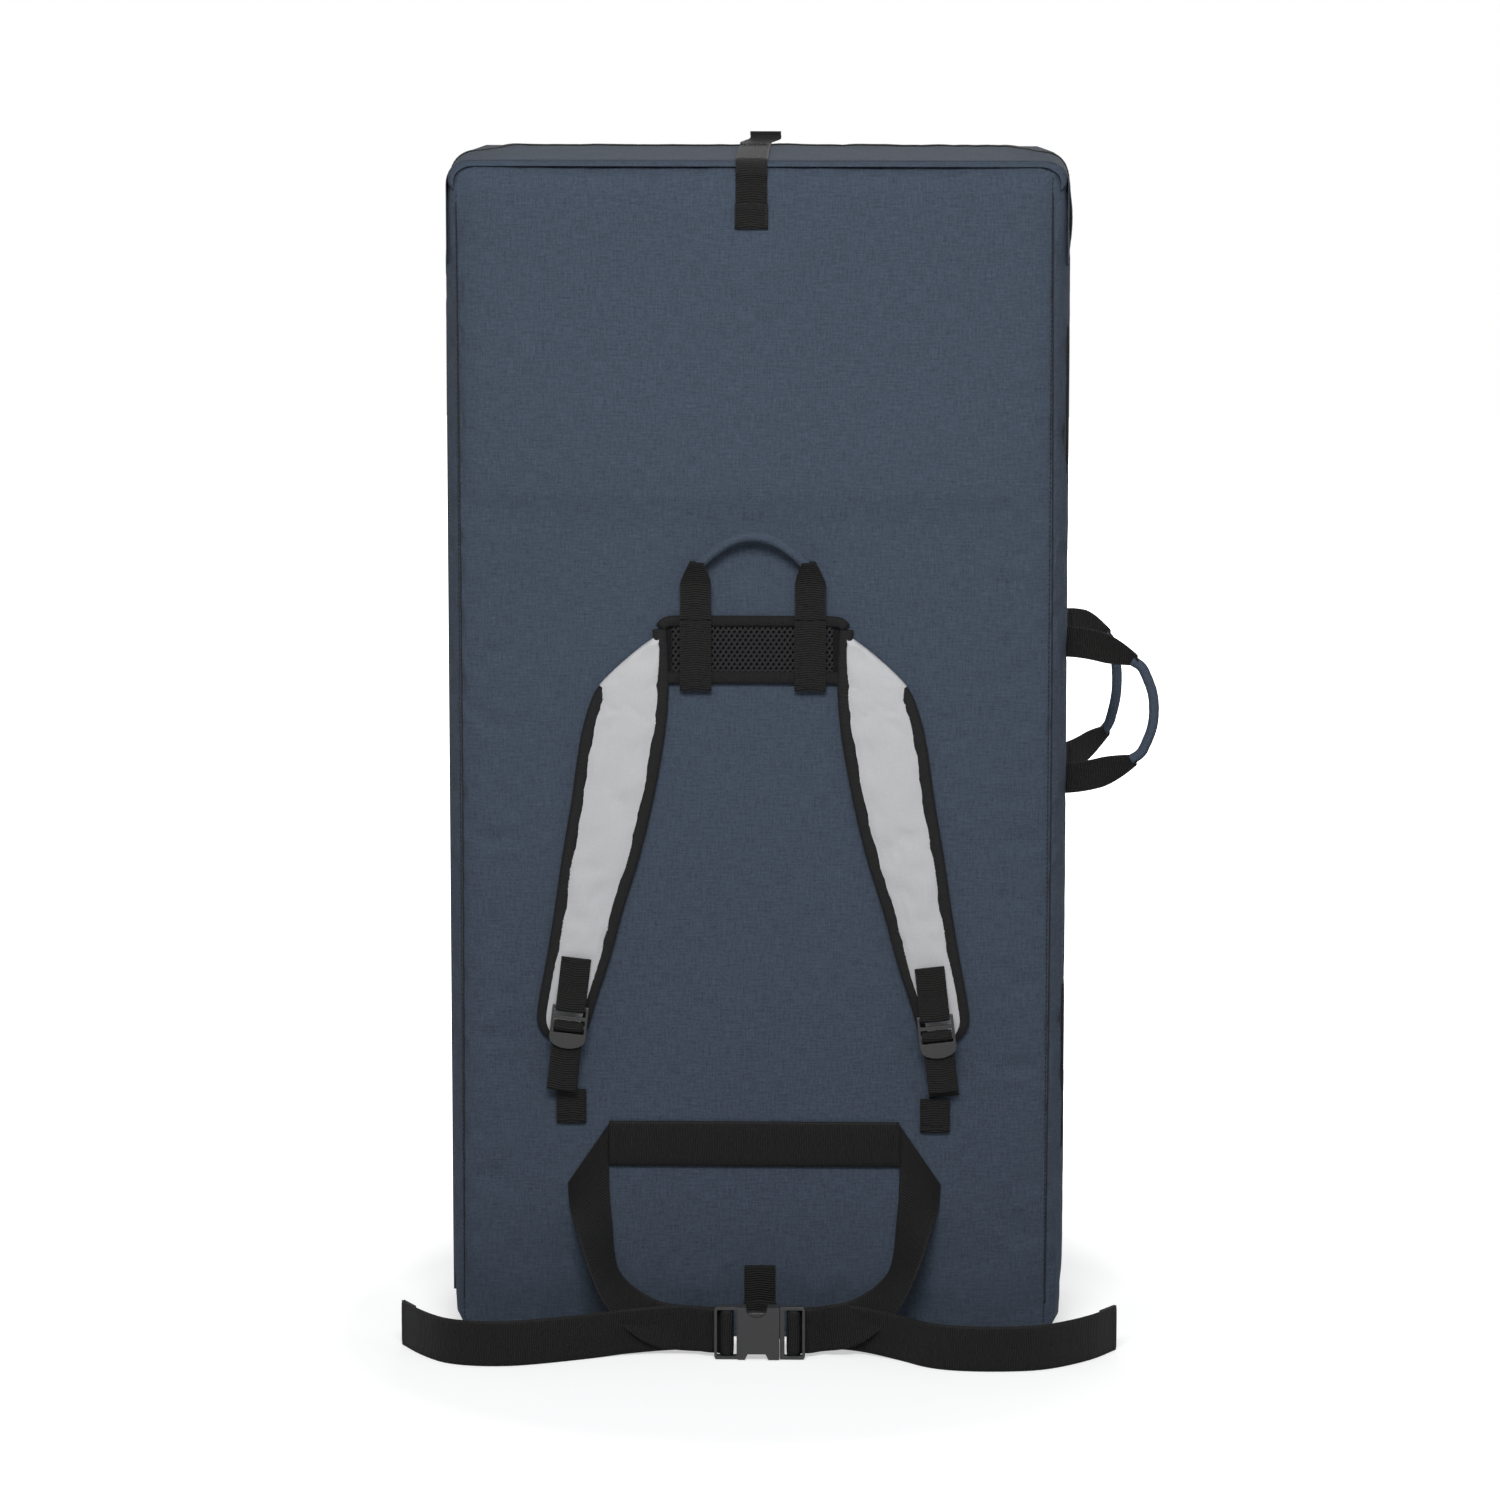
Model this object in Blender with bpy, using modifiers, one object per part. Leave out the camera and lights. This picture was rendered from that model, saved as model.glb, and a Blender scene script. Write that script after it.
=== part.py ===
"""Bouldering crash pad: two hinged foam halves, folded and standing on end, with its carrying harness."""

import math

import bmesh
import bpy
from mathutils import Vector
from mathutils.bvhtree import BVHTree

# Pad halves. The origin is the middle of the front half's standing face; the front half is carried.
pad_width = 0.530
pad_height = 1.030
half_thickness = 0.090
cover_cloth = 0.0015
panel_cloth = 0.0015
side_bulge = 0.005
face_fall = 0.004
face_roll = 0.070
corner_round = 0.024
edge_round = 0.014
firm_foam = 0.020
foam_room = 0.004
foam_corner = 0.036
clear = 0.0003
joint_clear = 0.0015
fold_clear = 0.0019
hinge_cloth = 0.0012
hinge_out = 0.007
hinge_seat = 0.022
hinge_below_lid = 0.030
hinge_from_floor = 0.020

# Webbing: narrow for the harness, wide for the waist belt.
webbing = 0.0018
webbing_width = 0.027
belt_width = 0.040
harness_x = -0.003

# Closure lid over the top end, with its strap.
lid_cloth = 0.0015
lid_drop = 0.097
lid_hinge_in = 0.013
lid_short_of_back = 0.042
lid_wing_short = 0.006
lid_ramp = 0.045
lid_binding_width = 0.007
closure_x = -0.0045
closure_down = 0.055
closure_hem = 0.021
closure_end_length = 0.034
closure_tab_height = 0.009
closure_tab_shift = 0.008
loop_patch = 0.0012

# Yoke between the shoulder straps, with its mesh window.
yoke_width = 0.1445
yoke_height = 0.058
yoke_low = 0.583
yoke_thick = 0.006
yoke_corner = 0.010
window_width = 0.068
window_height = 0.037
window_corner = 0.003
mesh_thick = 0.0025
mesh_columns = 10
mesh_rows = 5
mesh_hole_share = 0.60

# Haul handle above the yoke.
haul_spread = 0.0985
haul_patch_low = 0.579
haul_hinge_z = 0.638
haul_leg_height = 0.052
haul_leg_taper_share = 0.42
haul_rise = 0.025
haul_lean = 0.008
haul_grip_radius = 0.0046

# Padded shoulder straps, from the yoke down.
strap_top = 0.629
strap_length = 0.363
strap_reach = 0.1875
strap_thick = 0.010
strap_soft_edge = 0.0025
binding_width = 0.009
binding_thick = 0.0055
strap_lower_share = 0.132
# Along the strap, then its inner and outer edges across the reach.
strap_edge_shares = (
    (0.0, 0.397, 0.405),
    (0.055, 0.389, 0.549),
    (0.132, 0.387, 0.704),
    (0.19, 0.392, 0.757),
    (0.273, 0.411, 0.797),
    (0.41, 0.459, 0.835),
    (0.548, 0.523, 0.88),
    (0.672, 0.597, 0.915),
    (0.796, 0.661, 0.955),
    (0.89, 0.72, 0.989),
    (0.94, 0.748, 1.0),
    (0.967, 0.764, 0.986),
    (0.986, 0.796, 0.953),
    (0.997, 0.837, 0.912),
    (1.0, 0.868, 0.88),
)

# Ladder locks and the adjuster webbing that runs through them.
lock_lean = math.radians(6.6)
lock_x = 0.1575
lock_z = 0.3015
lock_drop_right = 0.007
lock_width = 0.0315
lock_height = 0.038
lock_thick = 0.003
lock_rail = 0.0021
lock_bar = 0.003
lock_tab_slot = 0.0062
lock_upper_slot = 0.0046
lock_lower_slot = 0.0046
lock_tongue_round_share = 0.55
lock_off_strap = 0.0068
tab_wrap = 0.0034
bar_wrap = 0.0029
strand_step = 0.0022
tab_length = 0.043
tail_end_z = 0.226
anchor_x = 0.158
anchor_top = 0.2245
anchor_height = 0.029
strap_webbing_width = 0.0258

# Waist belt, its buckle and the base tab.
band_half = 0.126
band_low = 0.156
belt_x = -0.002
buckle_out = 0.064
buckle_low = 0.0005
buckle_height = 0.0465
buckle_thick = 0.012
buckle_frame_thick = 0.008
buckle_rim = 0.0027
buckle_corner = 0.0012
female_left = -0.035
female_length = 0.0563
female_window = 0.017
female_wall = 0.0023
male_end = 0.0435
male_window = 0.0155
centre_bar = 0.004
mouth_gap = 0.0004
notch_radius = 0.0095
notch_x = 0.0017
notch_width = 0.0205
notch_slant = 0.005
socket_wall = 0.0022
socket_depth = 0.033
arm_height = 0.005
arm_inset = 0.0006
arm_length = 0.027
guide_height = 0.010
guide_length = 0.030
# The belt's run, in shares of its width: out to the side, out from the face, up.
belt_loop_low_shares = [
    (4.0625, 0.03, 3.5), (4.0125, 0.075, 2.9375), (3.8, 0.625, 2.4), (3.6, 0.975, 1.875),
    (3.25, 1.25, 1.15), (2.7, 1.45, 0.575), (2.125, 1.4, 0.2125), (1.55, 1.3, 0.1)
]
belt_loop_high_shares = [
    (3.1575, 0.03, 4.8375), (3.155, 0.03, 3.4), (3.1, 0.075, 2.65), (3.05, 0.25, 2.05),
    (2.925, 0.55, 1.675), (2.575, 0.85, 1.375), (2.05, 1.125, 1.1625), (1.5, 1.25, 1.0925)
]
# Each tail's lower edge, from the buckle to its end, the same way but up from the buckle's base.
left_tail_shares = [
    (1.625, 1.25, 0.0875), (2.7, 1.35, 0.025), (3.45, 1.65, 0), (4.475, 2.1, 0), (5.275, 2.35, 0),
    (6.05, 2.35, 0), (6.7, 2.1, 0), (7.25, 1.45, 0), (7.7, 0.65, 0)
]
right_tail_shares = [
    (1.75, 1.15, 0.0875), (2.4, 1.25, 0.05), (3.15, 1.7, 0), (3.775, 2.275, 0), (4.525, 2.525, 0),
    (5.6, 2.525, 0), (6.4, 2.275, 0), (7.25, 1.55, 0), (7.825, 0.7, 0)
]
# The webbing through a buckle window, in quarters of its bar: sideways, out from the bar.
buckle_thread_shares = [
    (-10.4, -8.6), (-2.2, -7), (4.4, -3.5), (4.9, 1), (2.2, 3.3), (-2.4, 3.3), (-4.9, 0.6), (-5.4, -2.9),
    (-8.8, -5.9), (-15.5, -6.3)
]
base_tab_top = 0.067
base_tab_low = 0.012
base_tab_x = 0.003

# Side handles and the hook-and-loop flaps on the opening side.
handle_reach = 0.0825
handle_upper_z = 0.6125
handle_lower_z = 0.4925
handle_grip_radius = 0.0045
handle_back_angle = math.radians(50)
handle_end_back = 0.0006
handle_head_share = 0.92
handle_tip_share = 1.2
handle_bow_share = 0.13
handle_taper_share = 0.55
handle_grip_shares = (-1, -0.72, -0.36, 0, 0.36, 0.72, 1)
upper_flap = (0.762, 0.889)
lower_flap = (0.169, 0.314)
flap_over_front = 0.022
flap_on_rear = 0.032
patch_half = 0.022

route_steps = 4

front_y = -half_thickness / 2
parting_y = half_thickness / 2 + fold_clear
rear_back_y = 2 * parting_y - front_y
half_width = pad_width / 2
fold_x = -half_width - hinge_out
strap_front_y = front_y - clear - strap_thick
lock_y = strap_front_y - lock_off_strap
buckle_y = front_y - buckle_out


def finish(name, colour, roughness, metallic=0.0):
    """A Principled material of the piece's own colour."""
    made = bpy.data.materials.new(name)
    made.use_nodes = True
    shader = made.node_tree.nodes["Principled BSDF"]
    shader.inputs["Base Color"].default_value = (*colour, 1.0)
    shader.inputs["Roughness"].default_value = roughness
    shader.inputs["Metallic"].default_value = metallic
    made.diffuse_color = (*colour, 1.0)
    return made


def collection(name):
    made = bpy.data.collections.new(name)
    bpy.context.scene.collection.children.link(made)
    return made


def add(name, data, look, parent=None, into=None):
    """Link an object, and seat it under its joint's empty without moving it."""
    obj = bpy.data.objects.new(name, data)
    (into or parts).objects.link(obj)
    if look:
        data.materials.append(materials[look])
    if parent:
        obj.parent = parent
        obj.location = -parent.location
    return obj


def pivot(name, place):
    """An empty on a joint's axis."""
    empty = bpy.data.objects.new(name, None)
    empty.empty_display_size = edge_round
    empty.location = place
    parts.objects.link(empty)
    return empty


def to_mesh(name, work):
    data = bpy.data.meshes.new(name)
    bmesh.ops.recalc_face_normals(work, faces=work.faces)
    if all(edge.is_manifold for edge in work.edges) and work.calc_volume(signed=True) < 0:
        bmesh.ops.reverse_faces(work, faces=work.faces)
    work.to_mesh(data)
    work.free()
    return data


def cut_box(low, high, cuts):
    """A box from low to high, cut along each axis at the listed places."""
    work = bmesh.new()
    bmesh.ops.create_cube(work, size=1)
    low, high = Vector(low), Vector(high)
    middle, size = (low + high) / 2, high - low
    for vert in work.verts:
        vert.co = middle + vert.co * size
    for axis, places in enumerate(cuts):
        normal = Vector([float(axis == i) for i in range(3)])
        for place in places:
            every = work.verts[:] + work.edges[:] + work.faces[:]
            bmesh.ops.bisect_plane(work, geom=every, plane_co=normal * place, plane_no=normal)
    return work


def evenly(count):
    """Places that cut a unit length into count equal cells."""
    return [i / count for i in range(1, count)]


def loft(name, look, cells, place, parent=None):
    """A unit box of the given cells along, across and through, moved to place(along, across, through)."""
    work = cut_box((0, 0, 0), (1, 1, 1), [evenly(count) for count in cells])
    for vert in work.verts:
        vert.co = place(*vert.co)
    return add(name, to_mesh(name, work), look, parent)


def block(name, look, low, high, bevel=0.0, parent=None, into=None):
    obj = add(name, to_mesh(name, cut_box(low, high, ((), (), ()))), look, parent, into)
    if bevel:
        rounding = obj.modifiers.new("edges", "BEVEL")
        rounding.width = bevel
        rounding.segments = 2
        rounding.limit_method = "ANGLE"
    return obj


def cut(obj, cutter):
    """Take a hidden cutter out of a piece."""
    cutter.hide_render = True
    cutter.display_type = "WIRE"
    hole = obj.modifiers.new("cut", "BOOLEAN")
    hole.operation = "DIFFERENCE"
    hole.solver = "EXACT"
    hole.object = cutter


def smooth_route(points, steps=route_steps):
    """Points on a smooth curve through the given ones."""
    points = [Vector(p) for p in points]
    ends = [2 * points[0] - points[1], *points, 2 * points[-1] - points[-2]]
    route = []
    for before, start, end, after in zip(ends, ends[1:], ends[2:], ends[3:]):
        for i in range(steps):
            t = i / steps
            bend = (end - before) * t + (2 * before - 5 * start + 4 * end - after) * t * t
            route.append(start + (bend + (3 * start - before - 3 * end + after) * t**3) / 2)
    return [*route, points[-1]]


def along(route, share):
    """The point that far along a route's list."""
    place = share * (len(route) - 1)
    i = min(int(place), len(route) - 2)
    return route[i].lerp(route[i + 1], place - i)


def ribbon(name, look, edge_a, edge_b, thickness, parent=None, steps=route_steps, rows=1):
    """Webbing between two edges, each given by the points it passes."""
    first, second = smooth_route(edge_a, steps), smooth_route(edge_b, steps)
    work = bmesh.new()
    bmesh.ops.create_grid(work, x_segments=len(first) - 1, y_segments=rows, size=1)
    for vert in work.verts:
        share, across = (vert.co.x + 1) / 2, (vert.co.y + 1) / 2
        vert.co = along(first, share).lerp(along(second, share), across)
    obj = add(name, to_mesh(name, work), look, parent)
    thick = obj.modifiers.new("thickness", "SOLIDIFY")
    thick.thickness = thickness
    thick.offset = 0
    return obj


def flat_band(name, look, route, width, y_of, thickness, parent=None):
    """A ribbon whose route lies in a plane across Y: route gives x, z."""
    middle = [Vector((x, z)) for x, z in route]
    sides = []
    for i, point in enumerate(middle):
        run = (middle[min(i + 1, len(middle) - 1)] - middle[max(i - 1, 0)]).normalized()
        sides.append(Vector((run.y, -run.x)) * width / 2)
    edges = [[(p.x + k * s.x, y_of, p.y + k * s.y) for p, s in zip(middle, sides)] for k in (-1, 1)]
    return ribbon(name, look, *edges, thickness, parent, steps=1)


def plate(name, look, outlines, thickness, y, parent=None, soft=0.0, into=None):
    """A flat piece across Y: the first outline of x, z points is its edge, the others are holes."""
    curve = bpy.data.curves.new(name, "CURVE")
    curve.dimensions = "2D"
    curve.fill_mode = "BOTH"
    curve.extrude = thickness / 2 - soft
    curve.bevel_depth = soft
    curve.bevel_resolution = 1 if soft else 0
    curve.offset = -soft
    for outline in outlines:
        spline = curve.splines.new("POLY")
        spline.points.add(len(outline) - 1)
        spline.use_cyclic_u = True
        for point, (x, z) in zip(spline.points, outline):
            point.co = (x, z, 0, 1)
    obj = add(name, curve, look, parent, into)
    obj.rotation_euler.x = math.pi / 2
    obj.location.y += y
    return obj


def solid_plate(name, look, outlines, thickness, y, parent=None, into=None):
    """A plate as a closed mesh, to be cut."""
    curve_obj = plate(name, None, outlines, thickness, y, None, 0.0, into)
    bpy.context.view_layer.update()
    shape = curve_obj.evaluated_get(bpy.context.evaluated_depsgraph_get())
    data = bpy.data.meshes.new_from_object(shape)
    data.transform(curve_obj.matrix_world)
    curve = curve_obj.data
    bpy.data.objects.remove(curve_obj)
    bpy.data.curves.remove(curve)
    work = bmesh.new()
    work.from_mesh(data)
    bpy.data.meshes.remove(data)
    bmesh.ops.remove_doubles(work, verts=work.verts, dist=clear / 30)
    return add(name, to_mesh(name, work), look, parent, into)


def tube(name, look, points, radius, parent=None):
    curve = bpy.data.curves.new(name, "CURVE")
    curve.dimensions = "3D"
    curve.bevel_depth = radius
    curve.bevel_resolution = 2
    curve.use_fill_caps = True
    route = smooth_route(points)
    spline = curve.splines.new("POLY")
    spline.points.add(len(route) - 1)
    for point, place in zip(spline.points, route):
        point.co = (*place, 1)
    return add(name, curve, look, parent)


def rounded(left, right, low, high, radius, corner_points=3):
    """The outline of a rectangle with round corners, as x, z points."""
    outline = []
    corners = ((right, high, 0), (left, high, 1), (left, low, 2), (right, low, 3))
    for x, z, quarter in corners:
        centre_x = x - radius if x == right else x + radius
        centre_z = z - radius if z == high else z + radius
        for i in range(corner_points + 1):
            angle = (quarter + i / corner_points) * math.pi / 2
            outline.append((centre_x + radius * math.cos(angle), centre_z + radius * math.sin(angle)))
    return outline


def edge_share(distance, reach):
    """0 in the flat middle, rising to 1 at the edge."""
    return max(0.0, 1 - distance / reach)


def face_y(x, z):
    """The front face: flat where the harness is sewn, falling back near its edges."""
    near = min(half_width - abs(x), pad_height - z, z)
    return front_y + face_fall * edge_share(near, face_roll) ** 2


def on_face(x, z):
    """The front half's cloth at a place on its face."""
    return front_skin.ray_cast(Vector((x, front_y - face_roll, z)), Vector((0, 1, 0)))[0].y


def in_front(y):
    """A depth in the rear half as the front half's, which it repeats turned, kept on the cloth."""
    return min(y, 2 * parting_y - y, half_thickness / 2 - panel_cloth - 2 * clear)


def on_side(y):
    """The cloth of a half's side at that depth."""
    start = Vector((half_width + edge_round, in_front(y), pad_height / 2))
    return front_skin.ray_cast(start, Vector((-1, 0, 0)))[0].x


def on_top(y):
    """The cloth of a half's top end at that depth."""
    start = Vector((closure_x, in_front(y), pad_height + edge_round))
    return front_skin.ray_cast(start, Vector((0, 0, -1)))[0].z


def round_corner(vert, wide, low, high):
    """Draw a point of the box's corner square in to the round corner."""
    x, y, z = vert.co
    centre_x = math.copysign(wide - corner_round, x)
    centre_z = high - corner_round if z > pad_height / 2 else low + corner_round
    across, up = x - centre_x, z - centre_z
    if across * x > 0 and up * (z - pad_height / 2) > 0:
        share = max(abs(across), abs(up)) / math.hypot(across, up)
        vert.co = (centre_x + across * share, y, centre_z + up * share)


def pad_form(name, look, low_y, high_y, inset, open_back, parent=None, turn=False):
    """A puffed half: crowned face, drawn-in sides and round edges, standing flat."""
    wide, high = half_width - inset, pad_height - inset
    face = low_y
    support = edge_round / 2
    reach = (support, corner_round, face_roll * 1.2)
    cuts_x = [sign * (wide - d) for sign in (-1, 1) for d in reach]
    cuts_z = [high - d for d in reach] + [inset + d for d in reach] + [pad_height / 2]
    cuts_y = [face + support, (face + high_y) / 2]
    work = cut_box((-wide, face, inset), (wide, high_y, high), (cuts_x, cuts_y, cuts_z))
    for vert in work.verts:
        x, y, z = vert.co
        round_corner(vert, wide, inset, high)
        if abs(y - face) < clear:
            vert.co.y += face_y(x, z) - front_y
        drawn = side_bulge * min(1.0, (2 * y / half_thickness) ** 2)
        vert.co.x -= drawn * x / wide
        vert.co.z -= drawn / 2 * max(0.0, z - pad_height / 2) / (high - pad_height / 2)
    if open_back:
        back = [f for f in work.faces if all(v.co.y > high_y - clear for v in f.verts)]
        bmesh.ops.delete(work, geom=back, context="FACES")
    obj = add(name, to_mesh(name, work), look, parent)
    soften = obj.modifiers.new("soften", "SUBSURF")
    soften.levels = 1
    soften.render_levels = 1
    if open_back:
        skin = obj.modifiers.new("cloth", "SOLIDIFY")
        skin.thickness = cover_cloth
        skin.offset = -1
    if turn:
        obj.rotation_euler.z = math.pi
        obj.location.y += 2 * parting_y
    return obj


def pad_half(side, parent=None):
    """Cover, landing panel, foam layers and hinge leaf of one half; the rear one is the front one turned."""
    turn = side == "rear"
    rim_y = half_thickness / 2 - panel_cloth - clear
    pad_form(f"{side}_cover", "shell_fabric", front_y, rim_y, 0.0, True, parent, turn)
    wide = half_width - side_bulge
    panel_y = half_thickness / 2 - panel_cloth / 2
    outline = rounded(-wide, wide, clear, pad_height - side_bulge / 2, corner_round)
    panel = plate(f"{side}_landing_panel", "landing_fabric", [outline], panel_cloth, panel_y, parent)
    inner = cover_cloth + 2 * clear
    foam_x = wide - inner
    split_y = rim_y - clear - firm_foam
    low, high = inner + clear, pad_height - side_bulge - inner
    pad_form(f"{side}_soft_foam", "soft_foam", front_y + inner, split_y - clear, foam_room, False, parent, turn)
    outline = rounded(-foam_x, foam_x, low, high, foam_corner)
    firm_y = (split_y + rim_y) / 2
    firm = plate(f"{side}_firm_foam", "firm_foam", [outline], rim_y - split_y, firm_y, parent)
    pieces = [panel, firm]
    leaf_y = half_thickness / 2 + clear + hinge_cloth / 2
    leaf_top = pad_height - lid_drop - hinge_below_lid
    ends = fold_x + clear, hinge_seat - half_width
    x_low, x_high = sorted(-x for x in ends) if turn else ends
    leaf = block(f"{side}_hinge_leaf", "landing_fabric", (x_low, leaf_y - hinge_cloth / 2, hinge_from_floor),
                 (x_high, leaf_y + hinge_cloth / 2, leaf_top), 0.0, parent)
    pieces.append(leaf)
    if turn:
        for piece in pieces:
            if piece.type == "CURVE":
                piece.rotation_euler = (math.pi / 2, 0, math.pi)
                piece.location.y += 2 * (parting_y - (panel_y if piece is panel else firm_y))
            else:
                piece.rotation_euler.z = math.pi
                piece.location.y += 2 * parting_y


def lid_route(out):
    """The lid's line round the top end, out from the pad's own outline, as x, z points."""
    low, high = pad_height - lid_drop, on_top(0) + out
    reach = on_side(0) + out
    radius = corner_round + out
    corner = [(math.cos(a), math.sin(a)) for a in (i * math.pi / 12 for i in range(7))]
    right = [(reach, low), (reach, low + lid_drop / 2)]
    right += [(reach - radius + radius * c, high - radius + radius * s) for c, s in corner]
    inner = reach - radius
    middle = [(inner - lid_ramp / 3, high), (inner - 2 * lid_ramp / 3, high), (inner - lid_ramp, high),
              (inner / 4, high)]
    left = [(-x, z) for x, z in reversed(right + middle)]
    return right + middle + left


def lid_pieces(parent):
    """The lid goes over the top end and part of the way down both sides."""
    hinge_y = front_y + lid_hinge_in
    out = clear * 2 + lid_cloth / 2
    route = lid_route(out)
    top_back = rear_back_y - lid_short_of_back
    wing_back = parting_y - lid_wing_short

    def back_at(x):
        rise = min(1.0, max(0.0, (half_width - corner_round - abs(x)) / lid_ramp))
        return wing_back + (top_back - wing_back) * rise * rise * (3 - 2 * rise)

    front = [(x, hinge_y, z) for x, z in route]
    back = [(x, back_at(x), z) for x, z in route]
    edge = [(x, y + 3 * clear, z) for x, y, z in back]
    rim = [(x, y + lid_binding_width, z) for x, y, z in back]
    ribbon("lid", "shell_fabric", front, back, lid_cloth, parent, steps=1, rows=3)
    ribbon("lid_binding", "webbing", edge, rim, lid_cloth + clear, parent, steps=1)
    left, right = closure_x - webbing_width / 2, closure_x + webbing_width / 2
    top_z = on_top(0) + out + lid_cloth / 2 + clear
    end_y = top_back + lid_binding_width
    block("closure_strap_top", "webbing", (left, hinge_y + joint_clear, top_z),
          (right, end_y, top_z + webbing), 0.0, parent)
    return end_y, top_z


def closure_pieces(rear_parent, end_parent, end_y, top_z):
    """The strap's end closes on a loop patch on the rear half, and has a tab to pull."""
    left, right = closure_x - webbing_width / 2, closure_x + webbing_width / 2
    patch_end = rear_back_y - edge_round

    def loop(u, v, w):
        y = end_y + 2 * clear + (patch_end - end_y - 2 * clear) * u
        return Vector((left + (right - left) * v, y, on_top(y) + clear + w * loop_patch))

    def hook(u, v, w):
        y = end_y + 4 * clear + (patch_end - end_y - 4 * clear) * u
        under = on_top(y) + loop_patch + 2 * clear
        return Vector((left + (right - left) * v, y, under + w * (top_z - clear - under)))

    loft("closure_loop_patch", "loop_pile", (3, 1, 1), loop, rear_parent)
    loft("closure_hook_patch", "hook_pile", (3, 1, 1), hook, end_parent)
    shift = closure_tab_shift
    back = end_y + closure_end_length

    def place(u, v, w):
        route = smooth_route([
            (left, end_y + clear, top_z),
            (left, end_y + closure_end_length / 2, top_z),
            (left + shift, back, top_z + webbing),
            (left + shift, back + webbing, top_z + closure_tab_height),
        ])
        point = along(route, u)
        point.x += v * webbing_width
        return point + Vector((0, -w * webbing * max(0.0, (u - 0.6) / 0.4), w * webbing * (1 - u * 0.4)))

    loft("closure_strap_end", "webbing", (8, 1, 1), place, end_parent)


def front_closure():
    """The strap's sewn end on the front face, doubled at its hem."""
    top = pad_height - edge_round / 2
    low = pad_height - closure_down
    left = closure_x - webbing_width / 2

    def place(u, v, w):
        z = low + (top - low) * u
        doubled = 2 * webbing if z < low + closure_hem else webbing
        return Vector((left + v * webbing_width, on_face(closure_x, z) - clear - (1 - w) * doubled, z))

    loft("closure_strap_front", "webbing", (16, 1, 1), place)


def base_strap():
    """A short webbing tab sewn on the face, below the belt."""
    left = base_tab_x - webbing_width / 2

    def place(u, v, w):
        z = base_tab_low + (base_tab_top - base_tab_low) * u
        return Vector((left + v * webbing_width, on_face(base_tab_x, z) - clear - (1 - w) * webbing, z))

    loft("base_tab", "webbing", (12, 1, 1), place)


def yoke():
    """The padded bridge between the shoulder straps, with a spacer-mesh window."""
    left, right = harness_x - yoke_width / 2, harness_x + yoke_width / 2
    y = front_y - clear - yoke_thick / 2
    middle_z = yoke_low + yoke_height / 2
    hole = rounded(harness_x - window_width / 2, harness_x + window_width / 2,
                   middle_z - window_height / 2, middle_z + window_height / 2, window_corner, 2)
    edge = rounded(left, right, yoke_low, yoke_low + yoke_height, yoke_corner)
    plate("yoke_pad", "webbing", [edge, hole], yoke_thick, y)
    mesh_hole = rounded(harness_x - window_width / 2 + clear, harness_x + window_width / 2 - clear,
                        middle_z - window_height / 2 + clear, middle_z + window_height / 2 - clear,
                        window_corner, 2)
    pitch_x, pitch_z = window_width / (mesh_columns + 1), window_height / (mesh_rows + 1)
    holes = []
    for row in range(mesh_rows):
        shift = pitch_x / 2 * (row % 2 - 1 / 2)
        for column in range(mesh_columns):
            x = harness_x + (column - (mesh_columns - 1) / 2) * pitch_x + shift
            z = middle_z + (row - (mesh_rows - 1) / 2) * pitch_z
            wide, tall = pitch_x * mesh_hole_share / 2, pitch_z * mesh_hole_share / 2
            holes.append([(x + wide, z), (x, z + tall), (x - wide, z), (x, z - tall)])
    plate("yoke_mesh", "mesh_fabric", [mesh_hole, *holes], mesh_thick, front_y - clear - mesh_thick / 2)


def haul_handle():
    """Two stitched webbing patches on the yoke carry a handle with a cloth-covered grip."""
    patch_y = front_y - 2 * clear - yoke_thick - webbing / 2
    axis = pivot("haul_handle_axis", (harness_x, patch_y - webbing / 2 - clear, haul_hinge_z))
    root_z = haul_hinge_z + webbing / 2 + clear
    top_z = root_z + haul_leg_height
    top_y = patch_y - haul_lean
    half = webbing_width / 2
    for side, sign in (("left", -1), ("right", 1)):
        x = harness_x + sign * haul_spread / 2
        block(f"haul_patch_{side}", "webbing", (x - half, patch_y - webbing / 2, haul_patch_low),
              (x + half, patch_y + webbing / 2, haul_hinge_z - clear / 2), 0.0)
        grip_half = haul_grip_radius * 0.9

        def place(u, v, w):
            narrow = min(1.0, max(0.0, (u - 1 + haul_leg_taper_share) / haul_leg_taper_share))
            wide = half + (grip_half - half) * narrow
            thick = webbing + (2 * grip_half - webbing) * narrow
            middle = Vector((x - sign * u * u * half / 4, patch_y - haul_lean * u * u, root_z + haul_leg_height * u))
            return middle + Vector(((2 * v - 1) * wide, (w - 1 / 2) * thick, 0))

        loft(f"haul_leg_{side}", "webbing", (6, 1, 1), place, axis)
    reach = haul_spread / 2 - half / 4
    points = [(harness_x + share * reach, top_y - haul_lean * (1 - share * share) / 2,
               top_z + 3 * clear + haul_grip_radius / 2 + haul_rise * (1 - abs(share) ** 2.2))
              for share in (-1, -0.75, -0.4, 0, 0.4, 0.75, 1)]
    tube("haul_grip", "shell_fabric", points, haul_grip_radius, axis)


def strap_edges(sign):
    """The strap's two edges from its top to its end, as x, z points."""
    inner, outer = [], []
    for down, near, far in strap_edge_shares:
        z = strap_top - down * strap_length
        inner.append((harness_x + sign * near * strap_reach, z, 0))
        outer.append((harness_x + sign * far * strap_reach, z, 0))
    return smooth_route(inner, 2), smooth_route(outer, 2)


def inward(points, distances, sign):
    """Points moved to the left of their run, each by its own distance."""
    moved = []
    for i, point in enumerate(points):
        run = points[min(i + 1, len(points) - 1)] - points[max(i - 1, 0)]
        side = Vector((-run.y, run.x, 0)).normalized() * sign
        moved.append(point + side * distances[i])
    return moved


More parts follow.
